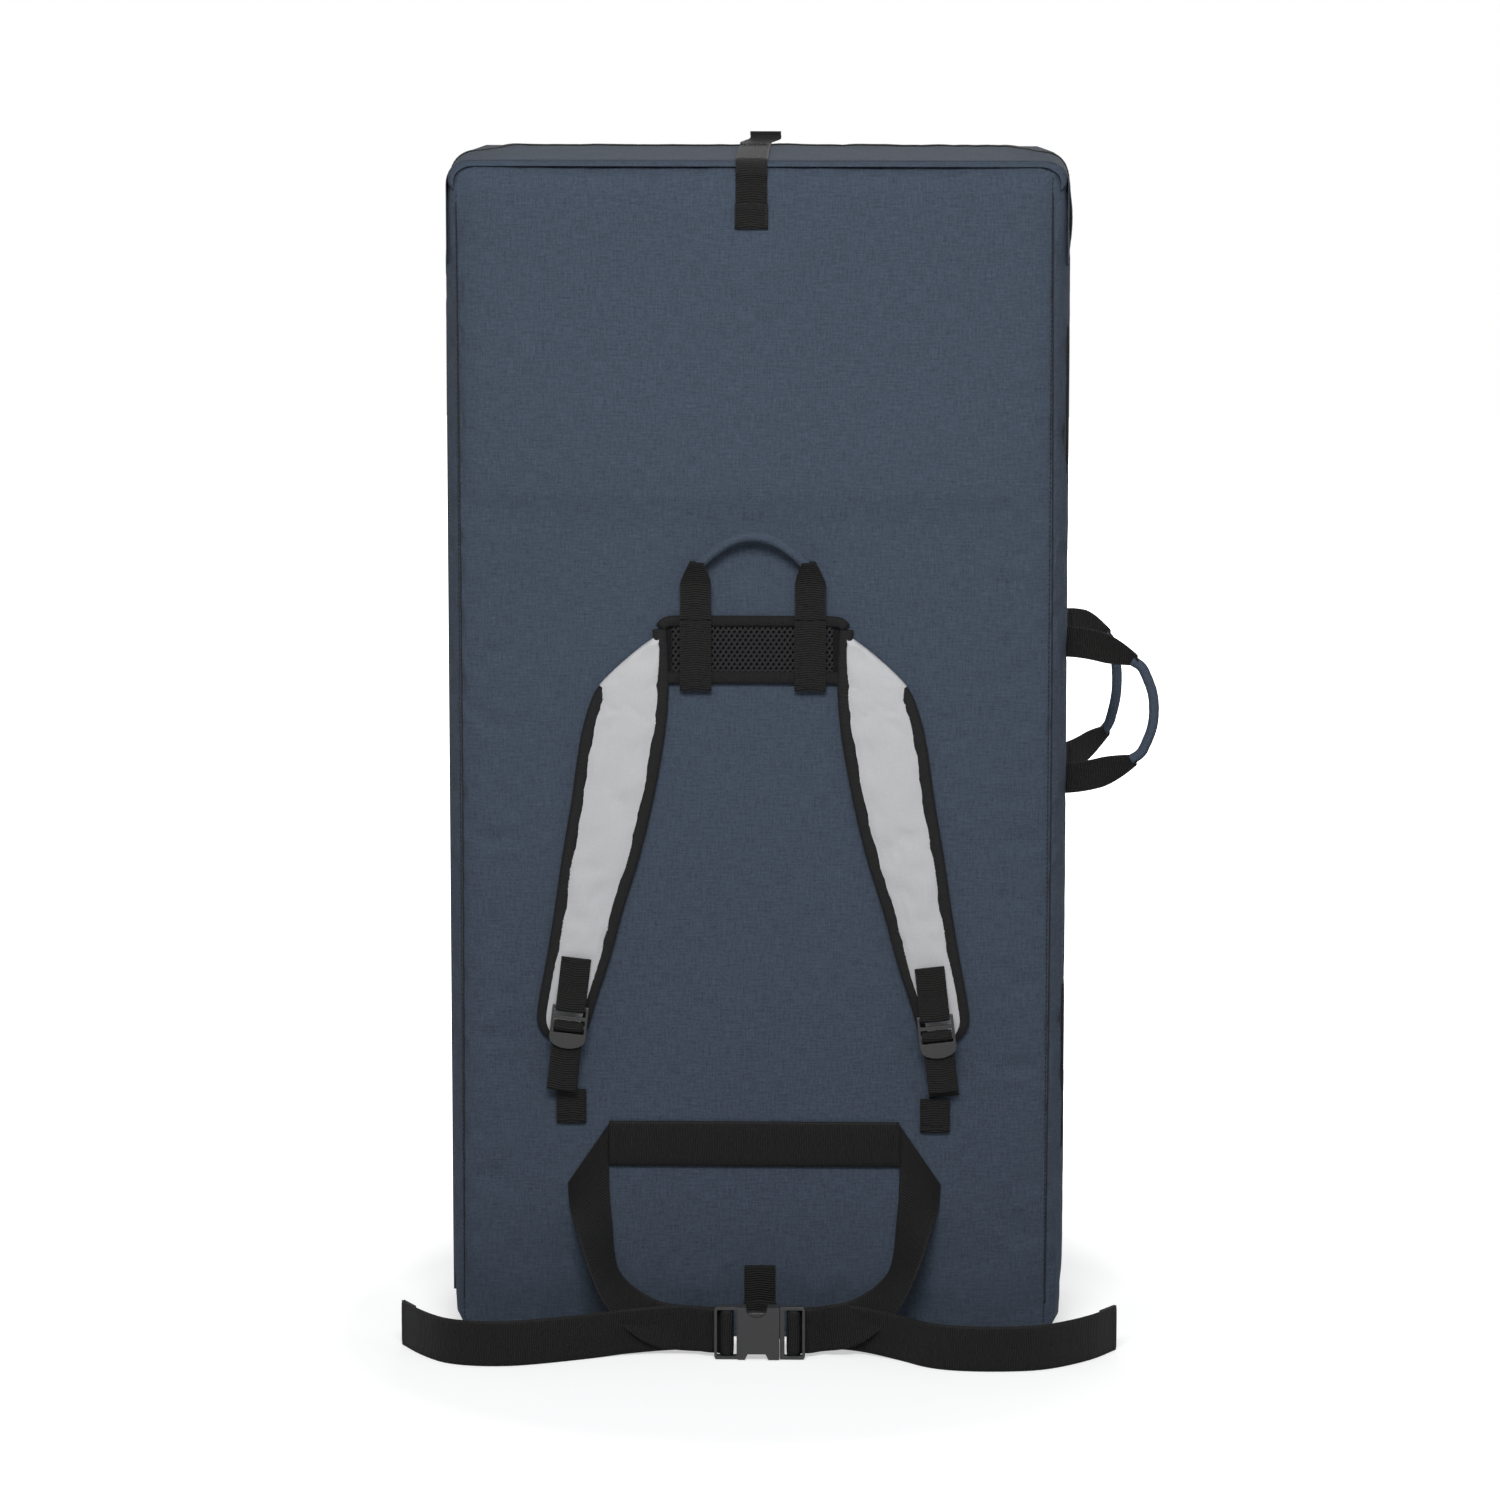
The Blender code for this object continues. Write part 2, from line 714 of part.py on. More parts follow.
def shoulder_strap(side, sign):
    """A padded strap bound on every edge but its folded top one."""
    axis = pivot(f"shoulder_{side}_axis", (harness_x + sign * yoke_width / 2, front_y, strap_top))
    inner, outer = strap_edges(sign)
    bound = [p for p in outer if p.y < strap_top - strap_lower_share * strap_length + clear]
    start = sign * (inner[0].x - harness_x) + binding_width + 2 * clear
    folded = [p for p in outer if p not in bound and sign * (p.x - harness_x) > start]
    seam = inner + bound[::-1]
    middle = inward(seam, [binding_width / 2] * len(seam), sign)
    face = inward(seam, [binding_width + clear] * len(seam), sign)
    outline = face + folded[::-1]
    y = front_y - clear - strap_thick / 2
    plate(f"shoulder_pad_{side}", "strap_face", [[(p.x, p.y) for p in outline]], strap_thick, y, axis,
          strap_soft_edge)
    flat_band(f"shoulder_binding_{side}", "webbing", [(p.x, p.y) for p in middle], binding_width, y,
              binding_thick, axis)
    return axis


def ladder_lock(side, sign, strap_axis):
    """A plastic ladder lock on a webbing tab, and the adjuster threaded through it."""
    drop = lock_drop_right if sign > 0 else 0.0
    bar_x, bar_z = harness_x + sign * lock_x, lock_z - drop - lock_bar / 2
    lean = sign * lock_lean
    down = Vector((math.sin(lean), 0, -math.cos(lean)))
    over = Vector((math.cos(lean), 0, math.sin(lean)))
    origin = Vector((bar_x, lock_y, bar_z))

    def at(across, back, below):
        return origin + over * across + Vector((0, back, 0)) + down * below

    def strip(name, path, width, look, parent, steps=2):
        edges = [[at(k * width / 2, back, below) for back, below in path] for k in (-1, 1)]
        return ribbon(name, look, *edges, webbing, parent, steps)

    flat = lock_off_strap - clear - webbing / 2
    wrap = tab_wrap
    tab = [(flat - webbing - clear, -tab_length), (flat - webbing - clear, -tab_length / 2),
           (-wrap, -3 * wrap), (-wrap, 0), (-wrap * 0.7, wrap * 0.7), (0, wrap), (wrap * 0.7, wrap * 0.7),
           (wrap, 0), (flat, -3 * wrap), (flat, -tab_length / 2), (flat, -tab_length)]
    strip(f"lock_tab_{side}", tab, strap_webbing_width, "webbing", strap_axis)

    axis = pivot(f"ladder_lock_{side}_axis", origin)
    axis.parent = strap_axis
    axis.location = origin - strap_axis.location
    half, rail = lock_width / 2, lock_width / 2 - lock_rail
    top = lock_bar / 2
    tongue = lock_height * (1 - lock_tongue_round_share * half / lock_height) - lock_bar / 2
    curve_points = 8
    outline = [(half, top), (-half, top), (-half, -tongue)]
    for i in range(1, curve_points):
        angle = math.pi + math.pi * i / curve_points
        outline.append((half * math.cos(angle), -tongue + lock_tongue_round_share * half * math.sin(angle)))
    outline.append((half, -tongue))
    slots = []
    place = -lock_bar / 2
    for slot in (lock_tab_slot, lock_upper_slot, lock_lower_slot):
        slots.append([(rail, place), (-rail, place), (-rail, place - slot), (rail, place - slot)])
        place -= slot + lock_bar
    lock = plate(f"ladder_lock_{side}", "buckle_plastic", [outline, *slots], lock_thick, 0, None)
    lock.parent = axis
    lock.rotation_euler = (math.pi / 2, -lean, 0)
    lock.location = (0, 0, 0)

    bar = lock_bar + lock_tab_slot + lock_upper_slot + lock_bar
    anchor_back = front_y - clear - webbing / 2 - lock_y
    tail = bar_wrap + clear / 2
    tail_below = (bar_z - tail_end_z + drop) / math.cos(lean)
    slant = strap_webbing_width / 2 * math.sin(lock_lean)
    anchor_below = (bar_z - anchor_top + drop - slant) / math.cos(lean) - clear
    load = tail + strand_step
    over_bar = (lock_bar + lock_upper_slot) / 2
    under_bar = (lock_bar + lock_lower_slot) / 2
    path = [(anchor_back, anchor_below), (anchor_back * 0.8 + load * 0.2, anchor_below - 4 * wrap),
            (load, bar + 4 * wrap), (load, bar + 2 * wrap), (load * 0.85, bar), (load * 0.5, bar - over_bar * 0.9),
            (0, bar - over_bar), (-bar_wrap * 0.85, bar - over_bar * 0.6), (-bar_wrap, bar),
            (-bar_wrap * 0.85, bar + under_bar * 0.6), (0, bar + under_bar), (tail * 0.8, bar + under_bar * 1.4),
            (tail, bar + 3 * wrap), (tail, (bar + tail_below) / 2 + 2 * wrap), (tail, tail_below)]
    strip(f"adjuster_{side}", path, strap_webbing_width, "webbing", None)

    half_tab = strap_webbing_width / 2
    x = harness_x + sign * anchor_x
    high = anchor_top - drop
    block(f"adjuster_anchor_{side}", "webbing", (x - half_tab, front_y - clear - 2 * webbing, high - anchor_height),
          (x + half_tab, front_y - clear, high - clear), 0.0)


def waist_webbing(side, sign, parent):
    """One length of belt webbing: from the band, through the buckle's bars, to its free tail."""
    slot_x = female_left + female_wall + female_window / 2 if sign < 0 else male_end - female_wall - male_window / 2
    turn = sign
    bar = centre_bar / 2
    low, high = ([(belt_x + turn * x * belt_width, front_y - n * belt_width, z * belt_width) for x, n, z in shares]
                 for shares in (belt_loop_low_shares, belt_loop_high_shares))
    lift = buckle_low + (buckle_height - belt_width) / 2
    scale = bar / 2
    for dx, out in buckle_thread_shares:
        x = slot_x - turn * dx * scale
        y = buckle_y - out * scale
        low.append((x, y, lift))
        high.append((x, y, lift + belt_width))
    for x, n, rise in (left_tail_shares if sign < 0 else right_tail_shares):
        x, y, z = turn * x * belt_width, front_y - n * belt_width, buckle_low + rise * belt_width
        low.append((x, y, z))
        high.append((x, y, z + belt_width))
    return ribbon(f"waist_webbing_{side}", "webbing", low, high, webbing, parent, steps=3)


def buckle(female_parent, male_parent):
    """A side-release buckle standing on its long edge, its arms pressed from above and below."""
    low, high = buckle_low, buckle_low + buckle_height
    middle = (low + high) / 2
    right = female_left + female_length
    chamfer = buckle_corner
    edge = [(female_left + chamfer, high), (female_left, high - 2 * chamfer),
            (female_left, low + 2 * chamfer), (female_left + chamfer, low)]
    bottom = [(notch_x - notch_width / 2, low), (notch_x - notch_width / 2 + notch_slant / 2, low + notch_slant),
              (notch_x + notch_width / 2 - notch_slant / 2, low + notch_slant), (notch_x + notch_width / 2, low)]
    top = [(notch_x + notch_radius * math.cos(a), high - notch_radius * math.sin(a))
           for a in (i * math.pi / 8 for i in range(9))]
    outline = edge + bottom + [(right, low), (right, high)] + top
    female = solid_plate("buckle_female", "buckle_plastic", [outline], buckle_thick, buckle_y, female_parent)
    window = (female_left + female_wall, female_left + female_wall + female_window)
    webbing_window(female, "female", *window, low, high)
    socket_low, socket_high = low + socket_wall + buckle_rim, high - socket_wall - buckle_rim
    socket = block("cut_socket", None, (right - socket_depth, buckle_y - buckle_thick / 2 + socket_wall, socket_low),
                   (right + chamfer, buckle_y + buckle_thick / 2 - socket_wall, socket_high), 0.0, None, cutters)
    cut(female, socket)
    for name, side in (("back", 1), ("front", -1)):
        start = buckle_y + side * buckle_frame_thick / 2
        far = buckle_y + side * buckle_thick
        thin = block(f"cut_{name}", None, (female_left - chamfer, min(start, far), low - chamfer),
                     (window[1] + female_wall / 2, max(start, far), high + chamfer), 0.0, None, cutters)
        cut(female, thin)

    start = right + mouth_gap
    male_outline = [(start, low), (male_end - chamfer, low), (male_end, low + 2 * chamfer),
                    (male_end, high - 2 * chamfer), (male_end - chamfer, high), (start, high)]
    male = solid_plate("buckle_male", "buckle_plastic", [male_outline], buckle_frame_thick, buckle_y, male_parent)
    window = (male_end - female_wall - male_window, male_end - female_wall)
    webbing_window(male, "male", *window, low, high)
    slim = buckle_thick - 2 * socket_wall - 2 * clear
    guide = block("guide_tongue", None, (right - guide_length, buckle_y - slim / 2, middle - guide_height / 2),
                  (start + mouth_gap, buckle_y + slim / 2, middle + guide_height / 2), 0.0, None, cutters)
    guide.hide_render = True
    guide.display_type = "WIRE"
    join = male.modifiers.new("guide", "BOOLEAN")
    join.operation = "UNION"
    join.solver = "EXACT"
    join.object = guide
    for name, sign in (("upper", 1), ("lower", -1)):
        reach = socket_high - middle - clear
        axis = pivot(f"buckle_arm_{name}_axis", (right, buckle_y, middle + sign * (reach - arm_height / 2)))
        axis.parent = male_parent
        axis.location -= male_parent.location
        arm(name, sign, right, middle, reach, slim, axis, male_parent)


def arm(name, sign, right, middle, reach, slim, axis, male_parent):
    """A release arm: a slim leaf with a rounded press head, thinner towards its root."""

    def place(u, v, w):
        x = right - clear - arm_length * u
        head = math.sin(math.pi * min(1.0, max(0.0, (u - 0.45) / 0.55))) ** 0.5
        outer = reach - arm_inset * (1 - head)
        inner = reach - arm_height * (0.62 + 0.38 * head)
        offset = inner + (outer - inner) * v
        return Vector((x, buckle_y + (w - 1 / 2) * slim, middle + sign * offset))

    obj = loft(f"buckle_arm_{name}", "buckle_plastic", (10, 1, 1), place)
    obj.parent = axis
    obj.location = -(axis.location + male_parent.location)


def webbing_window(piece, name, left, right, low, high):
    """Cut the two slots that leave the centre bar the webbing turns round."""
    bar_left = (left + right) / 2 - centre_bar / 2
    bar_right = (left + right) / 2 + centre_bar / 2
    for side, start, end in (("near", left, bar_left), ("far", bar_right, right)):
        cutter = block(f"cut_{name}_{side}", None, (start, buckle_y - buckle_thick, low + buckle_rim),
                       (end, buckle_y + buckle_thick, high - buckle_rim), 0.0, None, cutters)
        cut(piece, cutter)
    for side, sign in (("front", -1), ("back", 1)):
        near, far = buckle_y + sign * centre_bar / 2, buckle_y + sign * buckle_thick
        cutter = block(f"cut_{name}_bar_{side}", None, (bar_left - clear, min(near, far), low + buckle_rim),
                       (bar_right + clear, max(near, far), high - buckle_rim), 0.0, None, cutters)
        cut(piece, cutter)


def side_handle(side, middle_y, angle, parent=None):
    """A webbing loop with a cloth grip, hinged where it leaves the side."""
    axis_x = on_side(middle_y) + clear + math.hypot(handle_end_back, webbing / 2)
    axis = pivot(f"{side}_handle_axis", (axis_x, middle_y, 0))
    if parent:
        axis.parent = parent
        axis.location -= parent.location
    out = Vector((math.cos(angle), math.sin(angle), 0))
    through = Vector((-math.sin(angle), math.cos(angle), 0))
    base = Vector((axis_x, middle_y, 0))
    grip_out = handle_reach - handle_grip_radius
    span = handle_upper_z - handle_lower_z
    half = webbing_width / 2
    head = handle_grip_radius * handle_head_share
    for name, root, sign in (("upper", handle_upper_z, 1), ("lower", handle_lower_z, -1)):
        tip = root - sign * half * handle_tip_share
        tip_out = grip_out - span * handle_bow_share

        def place(u, v, w):
            narrow = max(0, (u - 1 + handle_taper_share) / handle_taper_share) ** 2
            wide = half + (head - half) * narrow
            thick = webbing + (2 * head - webbing) * narrow
            z = root + (tip - root) * u**1.8
            reach_out = -handle_end_back + (tip_out + handle_end_back) * u
            return base + out * reach_out + through * (w - 1 / 2) * thick + Vector((0, 0, z + (2 * v - 1) * wide))

        leg = loft(f"{side}_handle_leg_{name}", "webbing", (7, 1, 1), place)
        hang(leg, axis)
    points = []
    for share in handle_grip_shares:
        bow = grip_out - span * handle_bow_share * abs(share) ** 2.2 + clear * 2 * (abs(share) == 1)
        z = (handle_upper_z + handle_lower_z) / 2 + share * (span / 2 - half * handle_tip_share)
        points.append(base + out * (bow + (head + clear) * abs(share) ** 8) + Vector((0, 0, z)))
    grip = tube(f"{side}_handle_grip", "shell_fabric", points, handle_grip_radius)
    hang(grip, axis)


def hang(obj, axis):
    """Seat a piece under an empty that may itself hang from another."""
    obj.parent = axis
    place = axis.location.copy()
    if axis.parent:
        place += axis.parent.location
    obj.location = obj.location - place


def side_flap(name, span, parent):
    """A closing flap sewn to the rear half, held by a loop patch on the front half."""
    low, high = span
    patch_inset = loop_patch + clear

    def patch(u, v, w):
        y = (2 * u - 1) * patch_half
        z = low + patch_inset + (high - low - 2 * patch_inset) * v
        return Vector((on_side(y) + clear + w * loop_patch, y, z))

    loft(f"{name}_flap_patch", "loop_pile", (4, 1, 1), patch)
    hinge_y = 2 * parting_y + flap_on_rear
    start_x = on_side(0) + 2 * clear + loop_patch
    end_x = on_side(2 * parting_y) + clear
    axis = pivot(f"{name}_flap_axis", (on_side(hinge_y) + clear + webbing / 2, hinge_y, (low + high) / 2))
    axis.parent = parent
    axis.location -= parent.location

    def flap(u, v, w):
        y = -flap_over_front + (hinge_y + flap_over_front) * u
        share = y / (2 * parting_y)
        if share < 0:
            x = on_side(y) + 2 * clear + loop_patch
        elif share < 1:
            x = start_x + (end_x - start_x) * share
        else:
            x = on_side(y) + clear
        return Vector((x + w * webbing, y, low + (high - low) * v))

    hang(loft(f"{name}_side_flap", "hook_pile", (12, 1, 1), flap), axis)


for old in list(bpy.data.objects):
    bpy.data.objects.remove(old)

materials = {
    "shell_fabric": finish("shell_fabric", (0.040, 0.054, 0.080), 0.85),
    "landing_fabric": finish("landing_fabric", (0.012, 0.012, 0.013), 0.9),
    "firm_foam": finish("firm_foam", (0.10, 0.10, 0.11), 0.95),
    "soft_foam": finish("soft_foam", (0.55, 0.52, 0.42), 0.95),
    "webbing": finish("webbing", (0.012, 0.013, 0.012), 0.8),
    "mesh_fabric": finish("mesh_fabric", (0.016, 0.016, 0.018), 0.85),
    "strap_face": finish("strap_face", (0.47, 0.47, 0.48), 0.7),
    "loop_pile": finish("loop_pile", (0.02, 0.02, 0.02), 0.95),
    "hook_pile": finish("hook_pile", (0.015, 0.015, 0.015), 0.7),
    "buckle_plastic": finish("buckle_plastic", (0.035, 0.035, 0.036), 0.38),
}
parts = collection("bouldering_crash_pad")
cutters = collection("cutters")

fold = pivot("fold_axis", (fold_x, parting_y, 0))
lid_axis = pivot("lid_axis", (0, front_y + lid_hinge_in, pad_height + clear))
belt_axis = pivot("belt_axis", (belt_x, front_y - clear, band_low + belt_width))
male_axis = pivot("buckle_slide_axis", (male_end, buckle_y, 0))

pad_half("front")
front_skin = BVHTree.FromObject(bpy.data.objects["front_cover"], bpy.context.evaluated_depsgraph_get())
pad_half("rear", fold)
strap_end_y, strap_top_z = lid_pieces(lid_axis)
strap_end = pivot("closure_end_axis", (closure_x, strap_end_y, strap_top_z + webbing))
closure_pieces(fold, strap_end, strap_end_y, strap_top_z)
front_closure()
yoke()
haul_handle()
for side_name, side_sign in (("left", -1), ("right", 1)):
    ladder_lock(side_name, side_sign, shoulder_strap(side_name, side_sign))
block("waist_band", "webbing", (belt_x - band_half, front_y - clear - 2 * webbing, band_low),
      (belt_x + band_half, front_y - clear, band_low + belt_width), 0.0)
waist_webbing("left", -1, belt_axis)
waist_webbing("right", 1, male_axis)
buckle(belt_axis, male_axis)
base_strap()
side_handle("front", 0.0, 0.0)
side_handle("rear", 2 * parting_y, handle_back_angle, fold)
side_flap("upper", upper_flap, fold)
side_flap("lower", lower_flap, fold)
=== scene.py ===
import math

import bmesh
import bpy
import numpy as np
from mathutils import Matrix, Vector, noise


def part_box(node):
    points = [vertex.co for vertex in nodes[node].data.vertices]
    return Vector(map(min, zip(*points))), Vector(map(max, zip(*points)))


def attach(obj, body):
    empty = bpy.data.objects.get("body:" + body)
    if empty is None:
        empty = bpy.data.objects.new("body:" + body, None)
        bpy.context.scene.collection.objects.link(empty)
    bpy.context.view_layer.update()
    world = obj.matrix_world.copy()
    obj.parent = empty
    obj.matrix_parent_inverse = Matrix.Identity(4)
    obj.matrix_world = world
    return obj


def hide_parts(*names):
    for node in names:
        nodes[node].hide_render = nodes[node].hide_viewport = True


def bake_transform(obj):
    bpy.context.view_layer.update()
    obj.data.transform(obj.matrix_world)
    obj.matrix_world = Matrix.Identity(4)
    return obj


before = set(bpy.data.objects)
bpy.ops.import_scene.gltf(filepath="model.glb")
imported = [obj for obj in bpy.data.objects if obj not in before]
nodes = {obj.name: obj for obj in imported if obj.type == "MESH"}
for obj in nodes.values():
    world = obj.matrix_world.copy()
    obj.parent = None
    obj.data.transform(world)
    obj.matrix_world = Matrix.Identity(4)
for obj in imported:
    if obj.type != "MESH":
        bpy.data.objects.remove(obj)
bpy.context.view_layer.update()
print("frame loaded")


# shader helpers: maths on sockets, and one way to add any other node

class Wire:
    def __init__(self, graph, socket):
        self.graph, self.socket = graph, socket

    def maths(self, operation, *values):
        return self.graph.node("ShaderNodeMath", {"operation": operation}, dict(enumerate(values)))

    def __add__(self, other):
        return self.maths("ADD", self, other)

    def __sub__(self, other):
        return self.maths("SUBTRACT", self, other)

    def __rsub__(self, other):
        return self.maths("SUBTRACT", other, self)

    def __mul__(self, other):
        return self.maths("MULTIPLY", self, other)

    def __truediv__(self, other):
        return self.maths("DIVIDE", self, other)

    __radd__ = __add__
    __rmul__ = __mul__

    def sine(self):
        return self.maths("SINE", self)

    def above(self, limit, width):
        # 0 below the limit, 1 above it, soft over the width
        return self.graph.node("ShaderNodeMapRange", {"clamp": True},
                               {0: self, 1: limit - width / 2, 2: limit + width / 2, 3: 0.0, 4: 1.0})


class Graph:
    def __init__(self, tree):
        self.tree = tree

    def put(self, socket, value):
        if isinstance(value, Wire):
            self.tree.links.new(value.socket, socket)
        elif socket.type == "RGBA" and len(value) == 3:
            socket.default_value = (*value, 1.0)
        else:
            socket.default_value = value

    def node(self, kind, settings=None, inputs=None, output=0):
        made = self.tree.nodes.new(kind)
        for key, value in (settings or {}).items():
            if key == "stops":
                for i, (place, colour) in enumerate(value):
                    stop = made.color_ramp.elements[i] if i < 2 else made.color_ramp.elements.new(place)
                    stop.position, stop.color = place, (*colour, 1.0)
            else:
                setattr(made, key, value)
        for key, value in (inputs or {}).items():
            self.put(made.inputs[key], value)
        return Wire(self, made.outputs[output])


class Finish(Graph):
    def __init__(self, name, **shader):
        self.material = bpy.data.materials.new(name)
        self.material.use_nodes = True
        super().__init__(self.material.node_tree)
        self.shader = self.tree.nodes["Principled BSDF"]
        for socket, value in shader.items():
            self.put(self.shader.inputs[socket.replace("_", " ")], value)

    def cloth(self):
        # the piece's own cloth coordinates, in metres: both together, across, and along
        both = self.node("ShaderNodeUVMap", {"uv_map": "cloth"})
        across = self.node("ShaderNodeSeparateXYZ", None, {0: both})
        return both, across, Wire(self, across.socket.node.outputs[1])

    def noise(self, scale, detail=2.0, rough=0.5, stretch=None, place=None):
        at = place or self.node("ShaderNodeTexCoord", None, None, 3)
        if stretch:
            at = self.node("ShaderNodeMapping", None, {0: at, "Scale": stretch})
        return self.node("ShaderNodeTexNoise", None, {"Vector": at, "Scale": scale, "Detail": detail,
                                                      "Roughness": rough})

    def blend(self, share, first, second):
        return self.node("ShaderNodeMix", {"data_type": "RGBA"}, {0: share, 6: first, 7: second}, 2)

    def base(self, value):
        self.put(self.shader.inputs["Base Color"], value)

    def rough(self, value):
        self.put(self.shader.inputs["Roughness"], value)

    def bump(self, height, distance, strength=1.0):
        raised = self.node("ShaderNodeBump", None,
                           {"Height": height, "Distance": distance, "Strength": strength})
        self.put(self.shader.inputs["Normal"], raised)


def shade(colour, by):
    return tuple(min(1.0, c * by) for c in colour)


weaveLook = {"thread": 0.30, "heather": 0.40, "grid": 0.10, "broad": 0.05, "soft": 0.42, "rough": 0.82,
             "roughSpan": 0.16, "gridRise": 0.5, "threadRise": 0.6}


def wovenFinish(name, colour, pitch, contrast, relief, slub=0.0):
    # plain weave: threads in two directions, each a little lighter or darker than the next
    made = Finish(name, Roughness=0.85, Sheen_Weight=0.03, Sheen_Roughness=0.5, Specular_IOR_Level=0.07)
    both, across, along = made.cloth()
    turn = 2 * math.pi / pitch
    weave = (across * turn).sine() * (along * turn).sine()
    warp = made.noise(1.0, 2.0, 0.6, (0.9 / pitch, 0.07 / pitch, 1.0), both)
    weft = made.noise(1.0, 2.0, 0.6, (0.07 / pitch, 0.9 / pitch, 1.0), both)
    heather = made.noise(0.45 / pitch, 3.0, 0.7, None, both)
    broad = made.noise(7.0, 3.0, 0.5)
    w = weaveLook
    tone = ((warp + weft) * w["thread"] + heather * w["heather"] + weave * w["grid"]
            + (broad - 0.5) * w["broad"])
    made.base(made.blend(tone.above(0.5, w["soft"]), shade(colour, 1 - contrast),
                         shade(colour, 1 + contrast)))
    made.rough((heather - 0.5) * w["roughSpan"] + w["rough"])
    made.bump(weave * w["gridRise"] + (warp + weft) * (w["threadRise"] + slub), relief, 0.8)
    return made.material


webbingLook = {"chevron": 9.0, "threadPitch": 0.62, "selvedge": 0.455, "rib": 0.22, "thread": 0.1,
               "wear": 0.75, "edge": 0.1, "rough": 0.62, "roughSpan": 0.2, "dark": 0.42, "light": 1.9,
               "edgeFlat": 0.7}


def webbingFinish(name, colour, rib, relief, width):
    # tight ribs across the run, a chevron in each half, and a firmer selvedge
    w = webbingLook
    made = Finish(name, Roughness=w["rough"], Sheen_Weight=0.01, Sheen_Roughness=0.45,
                  Specular_IOR_Level=0.13)
    both, across, along = made.cloth()
    middle = (across / width - 0.5).maths("ABSOLUTE", across / width - 0.5)
    turn = 2 * math.pi / rib
    ribs = (along * turn + middle * w["chevron"]).sine()
    threads = (across * (2 * math.pi / (rib * w["threadPitch"]))).sine()
    wear = made.noise(260.0, 3.0, 0.65, None, both)
    selvedge = middle.above(w["selvedge"], 0.02)
    tone = ribs * w["rib"] + threads * w["thread"] + wear * w["wear"] + selvedge * w["edge"]
    made.base(made.blend(tone.above(0.45, 0.9), shade(colour, w["dark"]), shade(colour, w["light"])))
    made.rough((wear - 0.5) * w["roughSpan"] + w["rough"])
    made.bump(ribs * (1 - selvedge * w["edgeFlat"]) + threads * 0.3 + wear * 0.5, relief, 0.9)
    return made.material


def pileFinish(name, colour, grain):
    made = Finish(name, Roughness=0.95, Sheen_Weight=0.08)
    pile = made.noise(grain, 4.0, 0.8)
    made.base(made.blend(pile.above(0.5, 0.5), shade(colour, 0.5), shade(colour, 1.9)))
    made.bump(pile, 0.0008)
    return made.material


plasticLook = {"scuffFrom": 0.66, "scuffSoft": 0.08, "scuffTone": 0.45, "grainTone": 0.3, "light": 2.1,
               "rough": 0.36, "scuffRough": 0.16, "grainRough": 0.12}


def plasticFinish(name, colour):
    # moulded acetal: satin, with a fine spark texture and handling scuffs
    made = Finish(name, Roughness=0.4, Coat_Weight=0.05, Coat_Roughness=0.3, Specular_IOR_Level=0.42)
    grain = made.noise(2600.0, 2.0, 0.6)
    scuff = made.noise(90.0, 5.0, 0.75, (1.0, 1.0, 3.0))
    p = plasticLook
    mark = scuff.above(p["scuffFrom"], p["scuffSoft"])
    made.base(made.blend(mark * p["scuffTone"] + (grain - 0.5) * p["grainTone"], colour,
                         shade(colour, p["light"])))
    made.rough(p["rough"] + mark * p["scuffRough"] + (grain - 0.5) * p["grainRough"])
    made.bump(grain, 0.00006, 0.7)
    return made.material


def threadFinish(name, colour):
    made = Finish(name, Roughness=0.6, Sheen_Weight=0.04, Specular_IOR_Level=0.1)
    twist = made.noise(1500.0, 2.0, 0.6, (1.0, 1.0, 1.0))
    made.base(made.blend(twist.above(0.5, 0.4), shade(colour, 0.7), shade(colour, 1.4)))
    made.bump(twist, 0.0002)
    return made.material


finishes = {
    "shell": wovenFinish("shell cloth", (0.043, 0.056, 0.078), 0.0011, 0.44, 0.00026),
    "landing": wovenFinish("landing cloth", (0.013, 0.0135, 0.015), 0.0016, 0.35, 0.00035, 0.3),
    "strapFace": wovenFinish("strap face cloth", (0.405, 0.405, 0.414), 0.0009, 0.075, 0.00016),
    "webbing": webbingFinish("webbing", (0.0082, 0.0084, 0.0078), 0.0021, 0.00040, 0.027),
    "belt": webbingFinish("belt webbing", (0.0085, 0.0086, 0.0084), 0.0021, 0.00036, 0.040),
    "binding": webbingFinish("binding tape", (0.0080, 0.0080, 0.0080), 0.0012, 0.00016, 0.022),
    "mesh": threadFinish("spacer mesh", (0.0125, 0.0125, 0.0135)),
    "backing": wovenFinish("yoke backing", (0.008, 0.008, 0.009), 0.0011, 0.3, 0.0002),
    "thread": threadFinish("dark thread", (0.016, 0.017, 0.020)),
    "greyThread": threadFinish("black thread", (0.0085, 0.0085, 0.0085)),
    "plastic": plasticFinish("buckle plastic", (0.030, 0.030, 0.031)),
    "loop": pileFinish("loop pile", (0.020, 0.020, 0.021), 900.0),
    "hook": pileFinish("hook tape", (0.016, 0.016, 0.016), 1400.0),
}
print("finishes made")


# mesh helpers

# out of the front face, the gap between pieces that touch, and the harness's two sides
ahead = np.array([0.0, -1.0, 0.0])
clear = 0.0003
bothSides = (("left", -1), ("right", 1))


def linked(name, mesh, finish):
    mesh.materials.append(finishes[finish])
    made = bpy.data.objects.new(name, mesh)
    bpy.context.scene.collection.objects.link(made)
    return made


def newPiece(name, points, faces, cloth, finish):
    # cloth holds one pair of metres for each corner of each face
    mesh = bpy.data.meshes.new(name)
    mesh.from_pydata([tuple(p) for p in points], [], faces)
    layer = mesh.uv_layers.new(name="cloth")
    layer.data.foreach_set("uv", np.asarray(cloth, np.float32).ravel())
    for face in mesh.polygons:
        face.use_smooth = True
    mesh.update()
    return linked(name, mesh, finish)


def clamp(value):
    return min(1.0, max(0.0, value))


